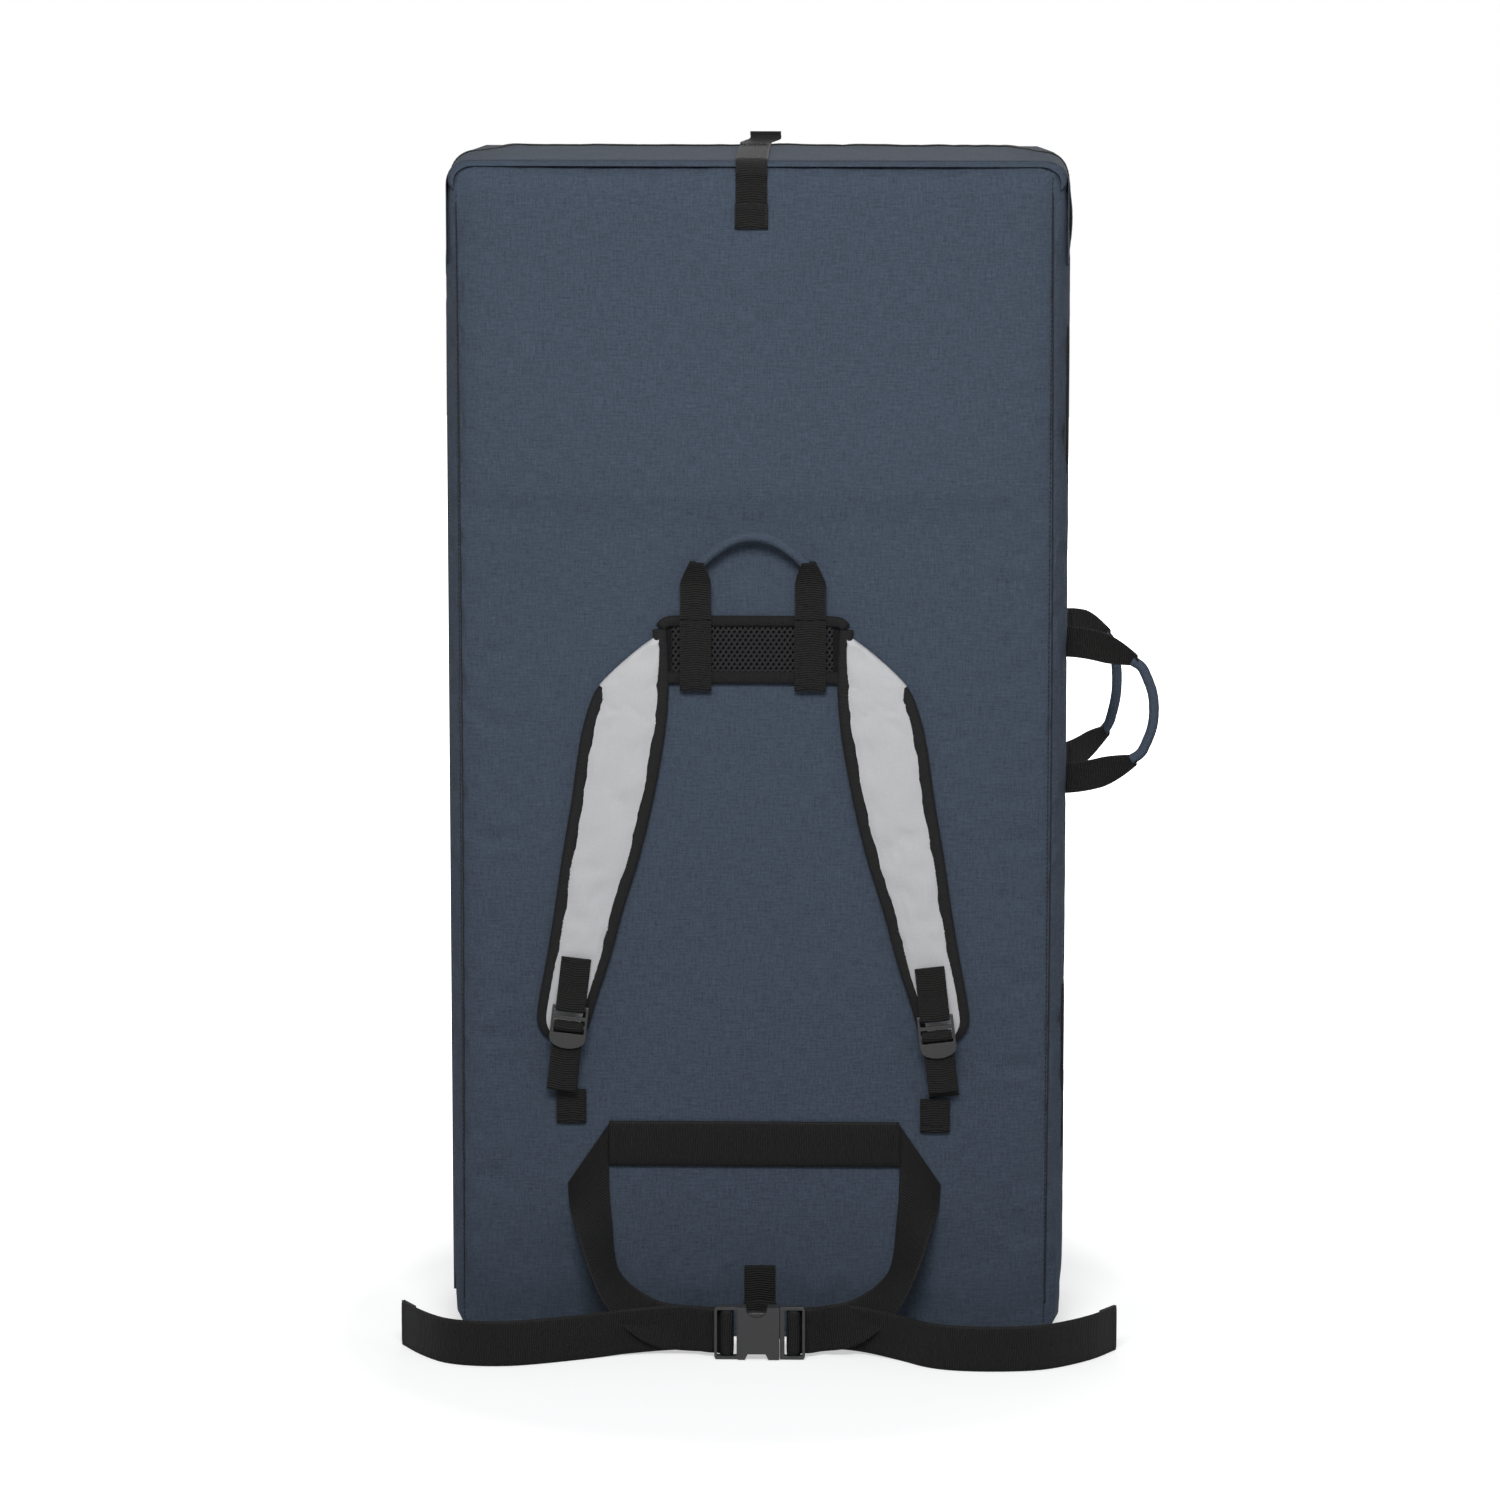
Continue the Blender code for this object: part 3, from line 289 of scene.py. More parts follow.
def ringPoints(sides):
    # unit pairs evenly round a circle
    return [(math.cos(2 * math.pi * k / sides), math.sin(2 * math.pi * k / sides)) for k in range(sides)]


def placesOf(piece):
    return np.array([v.co for v in piece.data.vertices])


def moveTo(piece, places):
    for vert, place in zip(piece.data.vertices, places):
        vert.co = place
    piece.data.update()


def settle(piece, body, stands=()):
    if stands:
        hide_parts(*stands)
    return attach(piece, body)


def acrossJoint(piece, stands, end):
    # a piece that spans two bodies, kept where it lies with its frame pieces hidden; it is attached to
    # neither and does not bend, and end is not used
    if stands:
        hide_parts(*stands)
    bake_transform(piece)
    return piece


def modify(piece, kind, **settings):
    added = piece.modifiers.new(kind.lower(), kind)
    for key, value in settings.items():
        setattr(added, key, value)
    return piece


def bake(piece):
    # the modifiers' result becomes the mesh
    depsgraph = bpy.context.evaluated_depsgraph_get()
    made = bpy.data.meshes.new_from_object(piece.evaluated_get(depsgraph))
    piece.modifiers.clear()
    piece.data = made
    for face in made.polygons:
        face.use_smooth = True
    return piece


def smoothLine(points, steps):
    # points on a smooth curve through the given ones
    points = [np.array(p, float) for p in points]
    ends = [2 * points[0] - points[1], *points, 2 * points[-1] - points[-2]]
    line = []
    for before, start, end, after in zip(ends, ends[1:], ends[2:], ends[3:]):
        for i in range(steps):
            t = i / steps
            bend = (end - before) * t + (2 * before - 5 * start + 4 * end - after) * t * t
            line.append(start + (bend + (3 * start - before - 3 * end + after) * t ** 3) / 2)
    return np.array([*line, points[-1]])


def lengths(line):
    return np.concatenate([[0], np.cumsum(np.linalg.norm(np.diff(line, axis=0), axis=1))])


def sample(line, far, places):
    return np.stack([np.interp(places, far, line[:, i]) for i in range(line.shape[1])], axis=1)


def evenLine(line, gap):
    # the same line with its points evenly spaced
    far = lengths(line)
    return sample(line, far, np.linspace(0, far[-1], max(2, int(round(far[-1] / gap)) + 1)))


def unit(vectors):
    return vectors / np.maximum(np.linalg.norm(vectors, axis=-1, keepdims=True), 1e-9)


def loftRings(name, rings, cloth, finish, closed=False):
    # rings of points, one after another, made into a skin; both ends are capped unless it is closed
    count, around = len(rings), len(rings[0])
    points = np.concatenate(rings)
    faces, corners = [], []
    for i in range(count if closed else count - 1):
        for j in range(around):
            a, b = i * around + j, i * around + (j + 1) % around
            c, d = ((i + 1) % count) * around + (j + 1) % around, ((i + 1) % count) * around + j
            faces.append((a, b, c, d))
            u0, u1 = cloth[0][j], cloth[0][j + 1]
            v0, v1 = cloth[1][i], cloth[1][i + 1]
            corners += [(u0, v0), (u1, v0), (u1, v1), (u0, v1)]
    if not closed:
        for start, flip in ((0, True), ((count - 1) * around, False)):
            cap = [start + j for j in range(around)]
            faces.append(tuple(reversed(cap)) if flip else tuple(cap))
            corners += [(cloth[0][j], 0.0) for j in range(around)]
    made = newPiece(name, points, faces, corners, finish)
    outward(made)
    return made


def outward(piece):
    work = bmesh.new()
    work.from_mesh(piece.data)
    bmesh.ops.recalc_face_normals(work, faces=work.faces)
    work.to_mesh(piece.data)
    work.free()


def ribbon(name, edgeA, edgeB, thick, finish, gap=0.004, cells=6, steps=4):
    # webbing between two edges: even thickness, rounded selvedges
    a, b = smoothLine(edgeA, steps), smoothLine(edgeB, steps)
    far = lengths((a + b) / 2)
    count = max(3, int(round(far[-1] / gap)) + 1)
    places = np.linspace(0, far[-1], count)
    a, b = sample(a, far, places), sample(b, far, places)
    wide = b - a
    up = unit(np.cross(unit(np.gradient((a + b) / 2, axis=0)), unit(wide)))
    shares = np.linspace(0, 1, cells + 1)
    body = (thick / 2) * (1 - 0.55 * np.abs(2 * shares - 1) ** 8)
    rings = []
    for i in range(count):
        top = [a[i] + wide[i] * s + up[i] * h for s, h in zip(shares, body)]
        low = [a[i] + wide[i] * s - up[i] * h for s, h in zip(shares[::-1], body[::-1])]
        rings.append(np.array(top + low))
    width = np.linalg.norm(wide, axis=1).mean()
    around = list(shares * width) + list(shares[::-1] * width) + [0.0]
    return loftRings(name, rings, (around, places), finish)


def surface(name, rows, thick, finish):
    # cloth of an even thickness over rows of points
    grid = np.array(rows, float)
    tall, wide = grid.shape[:2]
    run, cross = np.gradient(grid, axis=1), np.gradient(grid, axis=0)
    normal = unit(np.cross(run, cross))
    points = np.concatenate([(grid + normal * thick / 2).reshape(-1, 3),
                             (grid - normal * thick / 2).reshape(-1, 3)])
    u, v = lengths(grid[0]), lengths(grid[:, 0])
    back = tall * wide
    faces, corners = [], []

    def quad(places):
        faces.append(tuple(i * wide + j + (back if far else 0) for i, j, far in places))
        corners.extend((u[j], v[i]) for i, j, far in places)

    for i in range(tall - 1):
        for j in range(wide - 1):
            quad([(i, j, 0), (i, j + 1, 0), (i + 1, j + 1, 0), (i + 1, j, 0)])
            quad([(i, j, 1), (i + 1, j, 1), (i + 1, j + 1, 1), (i, j + 1, 1)])
    for j in range(wide - 1):
        for i in (0, tall - 1):
            quad([(i, j, 0), (i, j, 1), (i, j + 1, 1), (i, j + 1, 0)])
    for i in range(tall - 1):
        for j in (0, wide - 1):
            quad([(i, j, 0), (i + 1, j, 0), (i + 1, j, 1), (i, j, 1)])
    made = newPiece(name, points, faces, corners, finish)
    outward(made)
    return made


def tubeAlong(name, line, radius, finish, sides=12, gap=0.003, swell=None):
    line = evenLine(np.array(line, float), gap)
    run = unit(np.gradient(line, axis=0))
    rings = []
    up = np.array([0.0, 0.0, 1.0]) if abs(run[0][2]) < 0.9 else np.array([0.0, 1.0, 0.0])
    for i, point in enumerate(line):
        side = unit(np.cross(run[i], up))
        up = unit(np.cross(side, run[i]))
        r = radius * (swell(i / (len(line) - 1)) if swell else 1.0)
        rings.append(np.array([point + (side * c + up * s) * r for c, s in ringPoints(sides)]))
    around = np.linspace(0, 2 * math.pi * radius, sides + 1)
    return loftRings(name, rings, (around, lengths(line)), finish)


def gripTube(name, line, radius, seed):
    # a grip in cloth that is a little uneven
    return tubeAlong(name, smoothLine(line, 6), radius, "shell", sides=18, gap=0.002,
                     swell=lambda t: 1 + 0.05 * noise.noise(Vector((t * 24.0, *seed))))


def section(sides, power):
    # a rounded rectangle as pairs from -1 to 1
    return [(math.copysign(abs(c) ** (2 / power), c), math.copysign(abs(s) ** (2 / power), s))
            for c, s in ringPoints(sides)]


def formed(name, place, count, finish, width):
    # a piece from rings that place(share along, across, through) puts in space;
    # across and through run from -1 to 1
    pairs = section(24, 5.0)
    rings = [np.array([place(u, a, b) for a, b in pairs]) for u in np.linspace(0, 1, count)]
    around = [(a + 1) / 2 * width for a, _ in pairs]
    return loftRings(name, rings, ([*around, around[0]], lengths(np.mean(rings, axis=1))), finish)


def roundedBox(left, right, low, high, corner, steps=5):
    return [(cx + corner * math.cos(t), cz + corner * math.sin(t)) for cx, cz, start in
            ((right - corner, high - corner, 0), (left + corner, high - corner, 90),
             (left + corner, low + corner, 180), (right - corner, low + corner, 270))
            for t in (math.radians(start + 90 * k / (steps - 1)) for k in range(steps))]


def insetRing(outline, inset, y):
    # an outline in x and z, drawn in on every side, at one depth
    centre = outline.mean(axis=0)
    shrunk = centre + (outline - centre) * (1 - inset / np.abs(outline - centre).max(axis=0))
    return np.stack([shrunk[:, 0], np.full(len(shrunk), y), shrunk[:, 1]], axis=1)


def planarCloth(piece):
    layer = piece.data.uv_layers["cloth"]
    for loop in piece.data.loops:
        place = piece.data.vertices[loop.vertex_index].co
        layer.data[loop.index].uv = (place.x, place.z)


def flatPiece(name, rings, finish):
    piece = loftRings(name, rings, (np.zeros(len(rings[0]) + 1), np.zeros(len(rings))), finish)
    planarCloth(piece)
    for face in piece.data.polygons:
        face.use_smooth = len(face.vertices) == 4
    return piece


def strapEdges(path, x, width):
    return [[(x + edge, y, z) for y, z in path] for edge in (-width / 2, width / 2)]


def sewnStrap(name, body, path, x, width, thick, stands=(), cells=10, **more):
    # webbing along a path in y and z
    piece = ribbon(name, *strapEdges(path, x, width), thick, "webbing", cells=cells, **more)
    return settle(piece, body, stands)


stitchRows = {}


def stitches(body, line, up, thread="thread", pitch=0.0034, length=0.0024, radius=0.00034):
    # a row of sewn stitches along a line, kept until all of one body's rows are made into one piece
    line = evenLine(np.array(line, float), pitch)
    up = np.array(up, float)
    run = unit(np.gradient(line, axis=0))
    rows = stitchRows.setdefault((body, thread), [])
    for point, way in zip(line[:-1], run[:-1]):
        side = unit(np.cross(way, up))
        over = unit(np.cross(side, way))
        rows.append((point, way * length / 2, side * radius, over * radius * 0.9))


def bars(body, x, half, z, y, rows=1, pitch=0.0028):
    # rows of stitches across webbing that faces the front
    for k in range(rows):
        level = z + k * 0.0014
        stitches(body, [(x - half, y, level), (x + half, y, level)], ahead, "greyThread", pitch)


def boxCross(body, x, half, low, high, y):
    # a box of stitches with a cross in it
    x0, x1 = x - half, x + half
    for line in (((x0, low), (x1, low)), ((x0, high), (x1, high)), ((x0, low), (x0, high)),
                 ((x1, low), (x1, high)), ((x0, low), (x1, high)), ((x0, high), (x1, low))):
        stitches(body, [(x, y, z) for x, z in line], ahead, "greyThread", 0.003)


def sewStitches(body, thread):
    # each stitch is thickest in its middle, and its ends dip into the cloth
    form = ((-1.0, 0.3), (-0.75, 0.85), (0.0, 1.0), (0.75, 0.85), (1.0, 0.3))
    points, faces, sides = [], [], 6
    for place, way, side, over in stitchRows[(body, thread)]:
        first = len(points)
        for along, size in form:
            points += [place + way * along + side * c * size + over * (s * size - (1 - size) * 0.9)
                       for c, s in ringPoints(sides)]
        for i in range(len(form) - 1):
            for k in range(sides):
                a, b = first + i * sides + k, first + i * sides + (k + 1) % sides
                faces.append((a, b, b + sides, a + sides))
        faces.append(tuple(first + k for k in reversed(range(sides))))
        faces.append(tuple(first + (len(form) - 1) * sides + k for k in range(sides)))
    made = newPiece(f"{body}_{thread}_stitches", points, faces, [(0.0, 0.0)] * sum(map(len, faces)), thread)
    outward(made)
    return settle(made, body)


# camera, lights, floor

view = {"target": (-0.0057, -0.045, 0.5241), "distance": 6.0, "azimuth": 1.4, "elevation": 10.4,
        "lens": 167.2, "sensor": 36.0, "clip": 60.0}

camera = bpy.data.objects.new("camera", bpy.data.cameras.new("camera"))
bpy.context.scene.collection.objects.link(camera)
turn, rise = math.radians(view["azimuth"]), math.radians(view["elevation"])
back = Vector((math.sin(turn) * math.cos(rise), -math.cos(turn) * math.cos(rise), math.sin(rise)))
camera.location = Vector(view["target"]) + back * view["distance"]
camera.rotation_euler = (-back).to_track_quat("-Z", "Y").to_euler()
camera.data.sensor_width, camera.data.lens, camera.data.clip_end = view["sensor"], view["lens"], view["clip"]
bpy.context.scene.camera = camera
bpy.context.scene.view_settings.view_transform = "Standard"

lamps = {
    "key": {"at": (-0.05, -2.1, 1.95), "aim": (0.0, 0.0, 0.78), "size": (1.1, 0.7), "power": 13.8,
            "spread": 80},
    "fill": {"at": (1.9, -1.6, 1.3), "aim": (0.0, 0.0, 0.4), "size": (1.2, 1.6), "power": 4.0, "spread": 180},
    "rim": {"at": (0.5, 2.6, 1.0), "aim": (0.0, 0.0, 0.5), "size": (2.0, 1.2), "power": 22.0, "spread": 180},
}
for name, lamp in lamps.items():
    data = bpy.data.lights.new(name, "AREA")
    data.shape, data.size, data.size_y = "RECTANGLE", *lamp["size"]
    data.energy, data.spread = lamp["power"], math.radians(lamp["spread"])
    made = bpy.data.objects.new(name, data)
    made.location = lamp["at"]
    made.rotation_euler = (Vector(lamp["aim"]) - Vector(lamp["at"])).to_track_quat("-Z", "Y").to_euler()
    bpy.context.scene.collection.objects.link(made)

# a soft sky for light, and plain white to the camera and in reflections
world = bpy.data.worlds.new("studio")
world.use_nodes = True
bpy.context.scene.world = world
sky = Graph(world.node_tree)
background = sky.tree.nodes["Background"]
sky.put(background.inputs["Color"], (0.95, 0.97, 1.0))
sky.put(background.inputs["Strength"], 0.36)
rays = sky.node("ShaderNodeLightPath").socket.node.outputs
seen = Wire(sky, rays["Is Camera Ray"])
for other in ("Is Glossy Ray", "Is Transmission Ray"):
    seen = seen.maths("MAXIMUM", seen, Wire(sky, rays[other]))
white = sky.node("ShaderNodeBackground", None, {"Color": (1.0, 1.0, 1.0), "Strength": 1.0})
mixed = sky.node("ShaderNodeMixShader", None, {0: seen, 1: Wire(sky, background.outputs[0]), 2: white})
sky.put(sky.tree.nodes["World Output"].inputs[0], mixed)

# the floor goes to white away from the pad, and to the camera it is brighter all over
floorForm = {"half": 6, "tone": 0.80, "glow": 2.1, "clearFrom": 0.66, "clearSoft": 0.6, "near": 0.23,
             "more": 0.77}
floorLook = Finish("floor", Roughness=0.9)
floorLook.base((floorForm["tone"],) * 3)
floorGlow = floorLook.node("ShaderNodeEmission", None,
                           {"Color": (1.0, 1.0, 1.0), "Strength": floorForm["glow"]})
around = floorLook.node("ShaderNodeVectorMath", {"operation": "LENGTH"},
                        {0: floorLook.node("ShaderNodeTexCoord", None, None, 3)}, 1)
glow = floorLook.node("ShaderNodeLightPath") * (
    around.above(floorForm["clearFrom"], floorForm["clearSoft"]) * floorForm["more"] + floorForm["near"])
floorMix = floorLook.node("ShaderNodeMixShader", None,
                          {0: glow, 1: Wire(floorLook, floorLook.shader.outputs[0]), 2: floorGlow})
floorLook.put(floorLook.tree.nodes["Material Output"].inputs[0], floorMix)
finishes["floor"] = floorLook.material
square = [(0, 0), (1, 0), (1, 1), (0, 1)]
half = floorForm["half"]
newPiece("floor", [((2 * x - 1) * half, (2 * y - 1) * half, 0) for x, y in square], [(0, 1, 2, 3)],
                  square, "floor")
print("camera, lights and floor set")


# the two padded halves

padForm = {"halfWide": 0.2640, "high": 1.0296, "deep": 0.09, "front": -0.0450, "rim": 0.0430,
           "corner": 0.0190, "edge": 0.0080, "edgeRows": 4, "sideRows": 8, "sideStep": 0.011, "bulge": 0.0050,
           "topBulge": 0.0015, "fall": 0.0040, "roll": 0.070, "fade": 0.03, "cell": 0.0125, "parting": 0.0469}
padCloth = {"frames": 16, "cap": {"front": 0.0034, "rear": 0.0045}, "seamHold": 0.6, "sideHold": 0.012,
            "baseHold": 0.004, "settings": {
                "quality": 6, "mass": 0.25, "tension_stiffness": 18, "compression_stiffness": 18,
                "shear_stiffness": 6, "bending_stiffness": 0.6, "use_pressure": True,
                "uniform_pressure_force": 3.2, "shrink_min": -0.006}}
padFolds = {"seed": {"front": 3.0, "rear": 17.0}, "pucker": 0.00055, "puckerPitch": 55.0,
            "puckerReach": 0.022, "crease": 0.00042, "creaseAcross": 9.0, "creaseDown": 3.5, "dip": 0.0006,
            "dipReach": 0.004}
padSeam = {"pitch": 0.0042, "length": 0.0032, "radius": 0.00045, "sideTurn": 38, "topTurn": 58}
# the cloth is held flat where the harness, the closure strap and the base tab are sewn
harnessHold = {"left": -0.185, "right": 0.180, "low": 0.10, "high": 0.70, "reach": 0.05}
webbingHold = {"half": 0.014, "reach": 0.03, "strapX": -0.0045, "strapLow": 0.94, "tabX": 0.003,
               "tabHigh": 0.10}


def faceSize():
    # the flat face inside the rounded edge: half its width, its ends, and its corners' radius
    f = padForm
    return (f["halfWide"] - f["edge"] - f["bulge"], f["edge"], f["high"] - f["edge"] - f["topBulge"],
            f["corner"] - f["edge"])


def faceFall(x, z):
    near = np.minimum(np.minimum(padForm["halfWide"] - np.abs(x), padForm["high"] - z), z)
    return padForm["fall"] * np.clip(1 - near / padForm["roll"], 0, 1) ** 2


def faceY(z, x):
    return padForm["front"] + float(faceFall(np.array(x), np.array(z)))


def toRear(points):
    return points * np.array([-1, -1, 1]) + np.array([0, 2 * padForm["parting"], 0])


def faceGrid():
    # the face's points, row by row, its squares, and the loop of points round it
    wide, low, high, r = faceSize()
    nx, nz = int(round(2 * wide / padForm["cell"])), int(round((high - low) / padForm["cell"]))
    x, z = np.meshgrid(np.linspace(-wide, wide, nx + 1), np.linspace(low, high, nz + 1))
    middle, tall = (low + high) / 2, (high - low) / 2
    a, b = np.abs(x) - (wide - r), np.abs(z - middle) - (tall - r)
    square = (a > 0) & (b > 0)
    shrink = np.where(square, np.maximum(a, b) / np.maximum(np.hypot(a, b), 1e-9), 1.0)
    x = np.where(square, np.sign(x) * (wide - r + a * shrink), x)
    z = np.where(square, middle + np.sign(z - middle) * (tall - r + b * shrink), z)
    face = np.stack([x.ravel(), padForm["front"] + faceFall(x, z).ravel(), z.ravel()], axis=1)

    def at(i, j):
        return j * (nx + 1) + i

    squares = [(at(i, j), at(i + 1, j), at(i + 1, j + 1), at(i, j + 1)) for j in range(nz) for i in range(nx)]
    loop = ([at(i, 0) for i in range(nx)] + [at(nx, j) for j in range(nz)]
            + [at(i, nz) for i in range(nx, 0, -1)] + [at(0, j) for j in range(nz, 0, -1)])
    return face, squares, loop


def padMesh(name):
    # the face, then rings from its loop round the rounded edge and along the sides
    f = padForm
    face, faces, loop = faceGrid()
    points, corners = list(face), [(face[k][0], face[k][2]) for quad in faces for k in quad]
    rim = face[loop][:, [0, 2]]
    tangent = unit(np.roll(rim, -1, axis=0) - np.roll(rim, 1, axis=0))
    normal = np.stack([tangent[:, 1], -tangent[:, 0]], axis=1)
    bulge = normal[:, 0] ** 2 * f["bulge"] + np.maximum(normal[:, 1], 0) ** 2 * f["topBulge"]
    far = lengths(np.vstack([rim, rim[:1]]))
    turns = [math.pi / 2 * k / f["edgeRows"] for k in range(1, f["edgeRows"] + 1)]
    rows = [(f["edge"] * math.sin(t), f["front"] + f["edge"] * (1 - math.cos(t))) for t in turns]
    rows += [(f["edge"], y) for y in np.linspace(rows[-1][1], f["rim"], f["sideRows"])[1:]]
    last, depth = loop, 0.0
    fallRim = face[loop][:, 1] - f["front"]
    for k, (out, y) in enumerate(rows):
        swell = bulge * max(0.0, 1 - (2 * y / f["deep"]) ** 2)
        fade = max(0.0, 1 - (y - f["front"]) / f["fade"])
        ring = [len(points) + m for m in range(len(loop))]
        for m, (p, n) in enumerate(zip(rim, normal)):
            across, height = p + n * (out + swell[m])
            points.append(np.array([across, y + fallRim[m] * fade, max(height, 0.0)]))
        step = f["edge"] * 0.4 if k < f["edgeRows"] else f["sideStep"]
        for m in range(len(loop)):
            n = (m + 1) % len(loop)
            faces.append((last[m], ring[m], ring[n], last[n]))
            corners += [(far[m], depth), (far[m], depth - step), (far[m + 1], depth - step),
                        (far[m + 1], depth)]
        last, depth = ring, depth - step
    faces.append(tuple(last))
    corners += [(points[k][0], points[k][2]) for k in last]
    piece = newPiece(name, points, faces, corners, "shell")
    outward(piece)
    return piece, loop, len(face)


def heldShare(x, z):
    # 1 where something sewn on holds the face flat, 0 well away from it
    h, w = harnessHold, webbingHold
    away = np.maximum(np.maximum(h["left"] - x, x - h["right"]), np.maximum(h["low"] - z, z - h["high"]))

    def across(middle):
        return np.clip(1 - (np.abs(x - middle) - w["half"]) / w["reach"], 0, 1)

    strap = across(w["strapX"]) * np.clip((z - w["strapLow"]) / w["reach"], 0, 1)
    tab = across(w["tabX"]) * np.clip((w["tabHigh"] - z) / w["reach"], 0, 1)
    return np.maximum(np.maximum(np.clip(1 - away / h["reach"], 0, 1), strap), tab)


def puffCloth(piece, held, cap):
    # how far cloth with a little slack and air behind it moves, held at its seams and where it is sewn
    base = placesOf(piece)
    group = piece.vertex_groups.new(name="sewn")
    for i, share in enumerate(held):
        if share > 0.02:
            group.add([i], float(min(1.0, share)), "REPLACE")
    cloth = modify(piece, "CLOTH").modifiers["cloth"]
    for key, value in padCloth["settings"].items():
        setattr(cloth.settings, key, value)
    cloth.settings.vertex_group_mass = "sewn"
    cloth.settings.effector_weights.gravity = 0.0
    cloth.collision_settings.use_collision = False
    cloth.point_cache.frame_end = padCloth["frames"]
    for step in range(1, padCloth["frames"] + 1):
        bpy.context.scene.frame_set(step)
    move = placesOf(piece.evaluated_get(bpy.context.evaluated_depsgraph_get())) - base
    bpy.context.scene.frame_set(1)
    piece.modifiers.clear()
    piece.vertex_groups.clear()
    size = np.linalg.norm(move, axis=1, keepdims=True)
    move = move * np.minimum(1.0, cap / np.maximum(size, 1e-9))
    return move * (1 - np.minimum(1.0, held)[:, None] ** 2)


def foldRise(places, side):
    # small puckers that run in from the seam, long soft creases down the face, and the sunk seam
    f, k = padForm, padFolds
    x, y, z = places.T
    wide, low, high, _ = faceSize()
    onFace = y < f["front"] + f["fall"] + 0.004
    nearX, nearZ = wide - np.abs(x), np.minimum(high - z, z - low)
    near = np.minimum(nearX, nearZ)
    seed = k["seed"][side]
    rise = np.zeros(len(places))
    for i in np.nonzero(y < f["rim"] - 0.004)[0]:
        px, py, pz = places[i]
        along = pz if nearX[i] < nearZ[i] else px
        pucker = (noise.noise(Vector((along * k["puckerPitch"], seed, 0.0)))
                  * math.exp(-abs(near[i]) / k["puckerReach"]))
        crease = noise.fractal(Vector((px * k["creaseAcross"], seed + py * k["creaseAcross"],
                                       pz * k["creaseDown"])),
                               1.0, 2.0, 3)
        rise[i] = k["pucker"] * pucker + k["crease"] * crease
    if side == "front":
        rise *= np.where(onFace, 1 - 0.97 * heldShare(x, z), 1.0)
    rise -= k["dip"] * np.clip(1 - np.abs(near) / k["dipReach"], 0, 1) * onFace
    rise[z < 0.003] = 0.0
    rise[y > f["rim"] - 0.004] = 0.0
    return rise


def padSeamLine(side):
    # on the face on the right, and on the rounded edge on the left and at the top
    f, s = padForm, padSeam
    wide, low, high, r = faceSize()
    outline = roundedBox(-wide, wide, low, high, r, 7)
    outline = evenLine(np.array([*outline, outline[0]]), 0.006)
    left = np.clip(-outline[:, 0] / (wide - r) - 0.5, 0, 0.5) * 2
    top = np.clip((outline[:, 1] - (high - r)) / r, 0, 1)
    turn = np.radians(s["sideTurn"] * left * (1 - top) + s["topTurn"] * top)
    away = np.stack([np.sign(outline[:, 0]) * (1 - top), top], axis=1)
    front = f["front"] + faceFall(outline[:, 0], outline[:, 1]) + f["edge"] * (1 - np.cos(turn)) - 0.0001
    outline = outline + away * (f["edge"] * np.sin(turn))[:, None]
    line = np.stack([outline[:, 0], front, outline[:, 1]], axis=1)
    return line if side == "front" else toRear(line)


def padHalf(side):
    piece, loop, faceCount = padMesh(f"{side}_pad")
    places = placesOf(piece)
    x, y, z = places.T
    held = np.zeros(len(places))
    if side == "front":
        held[:faceCount] = heldShare(x[:faceCount], z[:faceCount])
    held[loop] = np.maximum(held[loop], padCloth["seamHold"])
    held[(y > padForm["rim"] - padCloth["sideHold"]) | (z < padCloth["baseHold"])] = 1.0
    move = puffCloth(piece, held, padCloth["cap"][side])
    # stay under the lid
    move[:, 2] = np.where(z > 1.0, np.minimum(move[:, 2], 0.0), move[:, 2])
    moveTo(piece, places + move)
    modify(piece, "SUBSURF", levels=2, render_levels=2, subdivision_type="SIMPLE")
    bake(piece)
    places = placesOf(piece)
    normals = np.array([v.normal for v in piece.data.vertices])
    places = places + normals * foldRise(places, side)[:, None]
    places[:, 2] = np.maximum(places[:, 2], 0.0)
    moveTo(piece, places if side == "front" else toRear(places))
    body = f"{side}_half"
    settle(piece, body, [f"{side}_cover", f"{side}_firm_foam", f"{side}_soft_foam"])
    stitches(body, padSeamLine(side), ahead if side == "front" else -ahead, pitch=padSeam["pitch"],
             length=padSeam["length"], radius=padSeam["radius"])


for side in ("front", "rear"):
    padHalf(side)
print("padded halves made")


# landing panels, and the cloth hinge between them

panelForm = {"wide": 0.2595, "low": 0.0008, "high": 1.0268, "corner": 0.0180, "thick": 0.0013, "seam": 0.009}


def landingPanel(side):
    p = panelForm
    sign = -1 if side == "rear" else 1
    low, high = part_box(f"{side}_landing_panel")
    middle, thick = (low.y + high.y) / 2, sign * p["thick"]
    outline = np.array(roundedBox(-p["wide"], p["wide"], p["low"], p["high"], p["corner"], 9))
    piece = flatPiece(f"{side}_landing_cloth",
                      [insetRing(outline, inset, middle + depth * thick) for inset, depth in
                       ((0.0, -0.5), (0.0, 0.0), (0.0012, 0.42), (0.004, 0.5))], "landing")
    settle(piece, f"{side}_half", [f"{side}_landing_panel"])
    seam = insetRing(outline, p["seam"], middle + thick / 2)
    stitches(f"{side}_half", np.vstack([seam, seam[:1]]), (0, sign, 0), pitch=0.0042, length=0.003)


for side in ("front", "rear"):
    landingPanel(side)

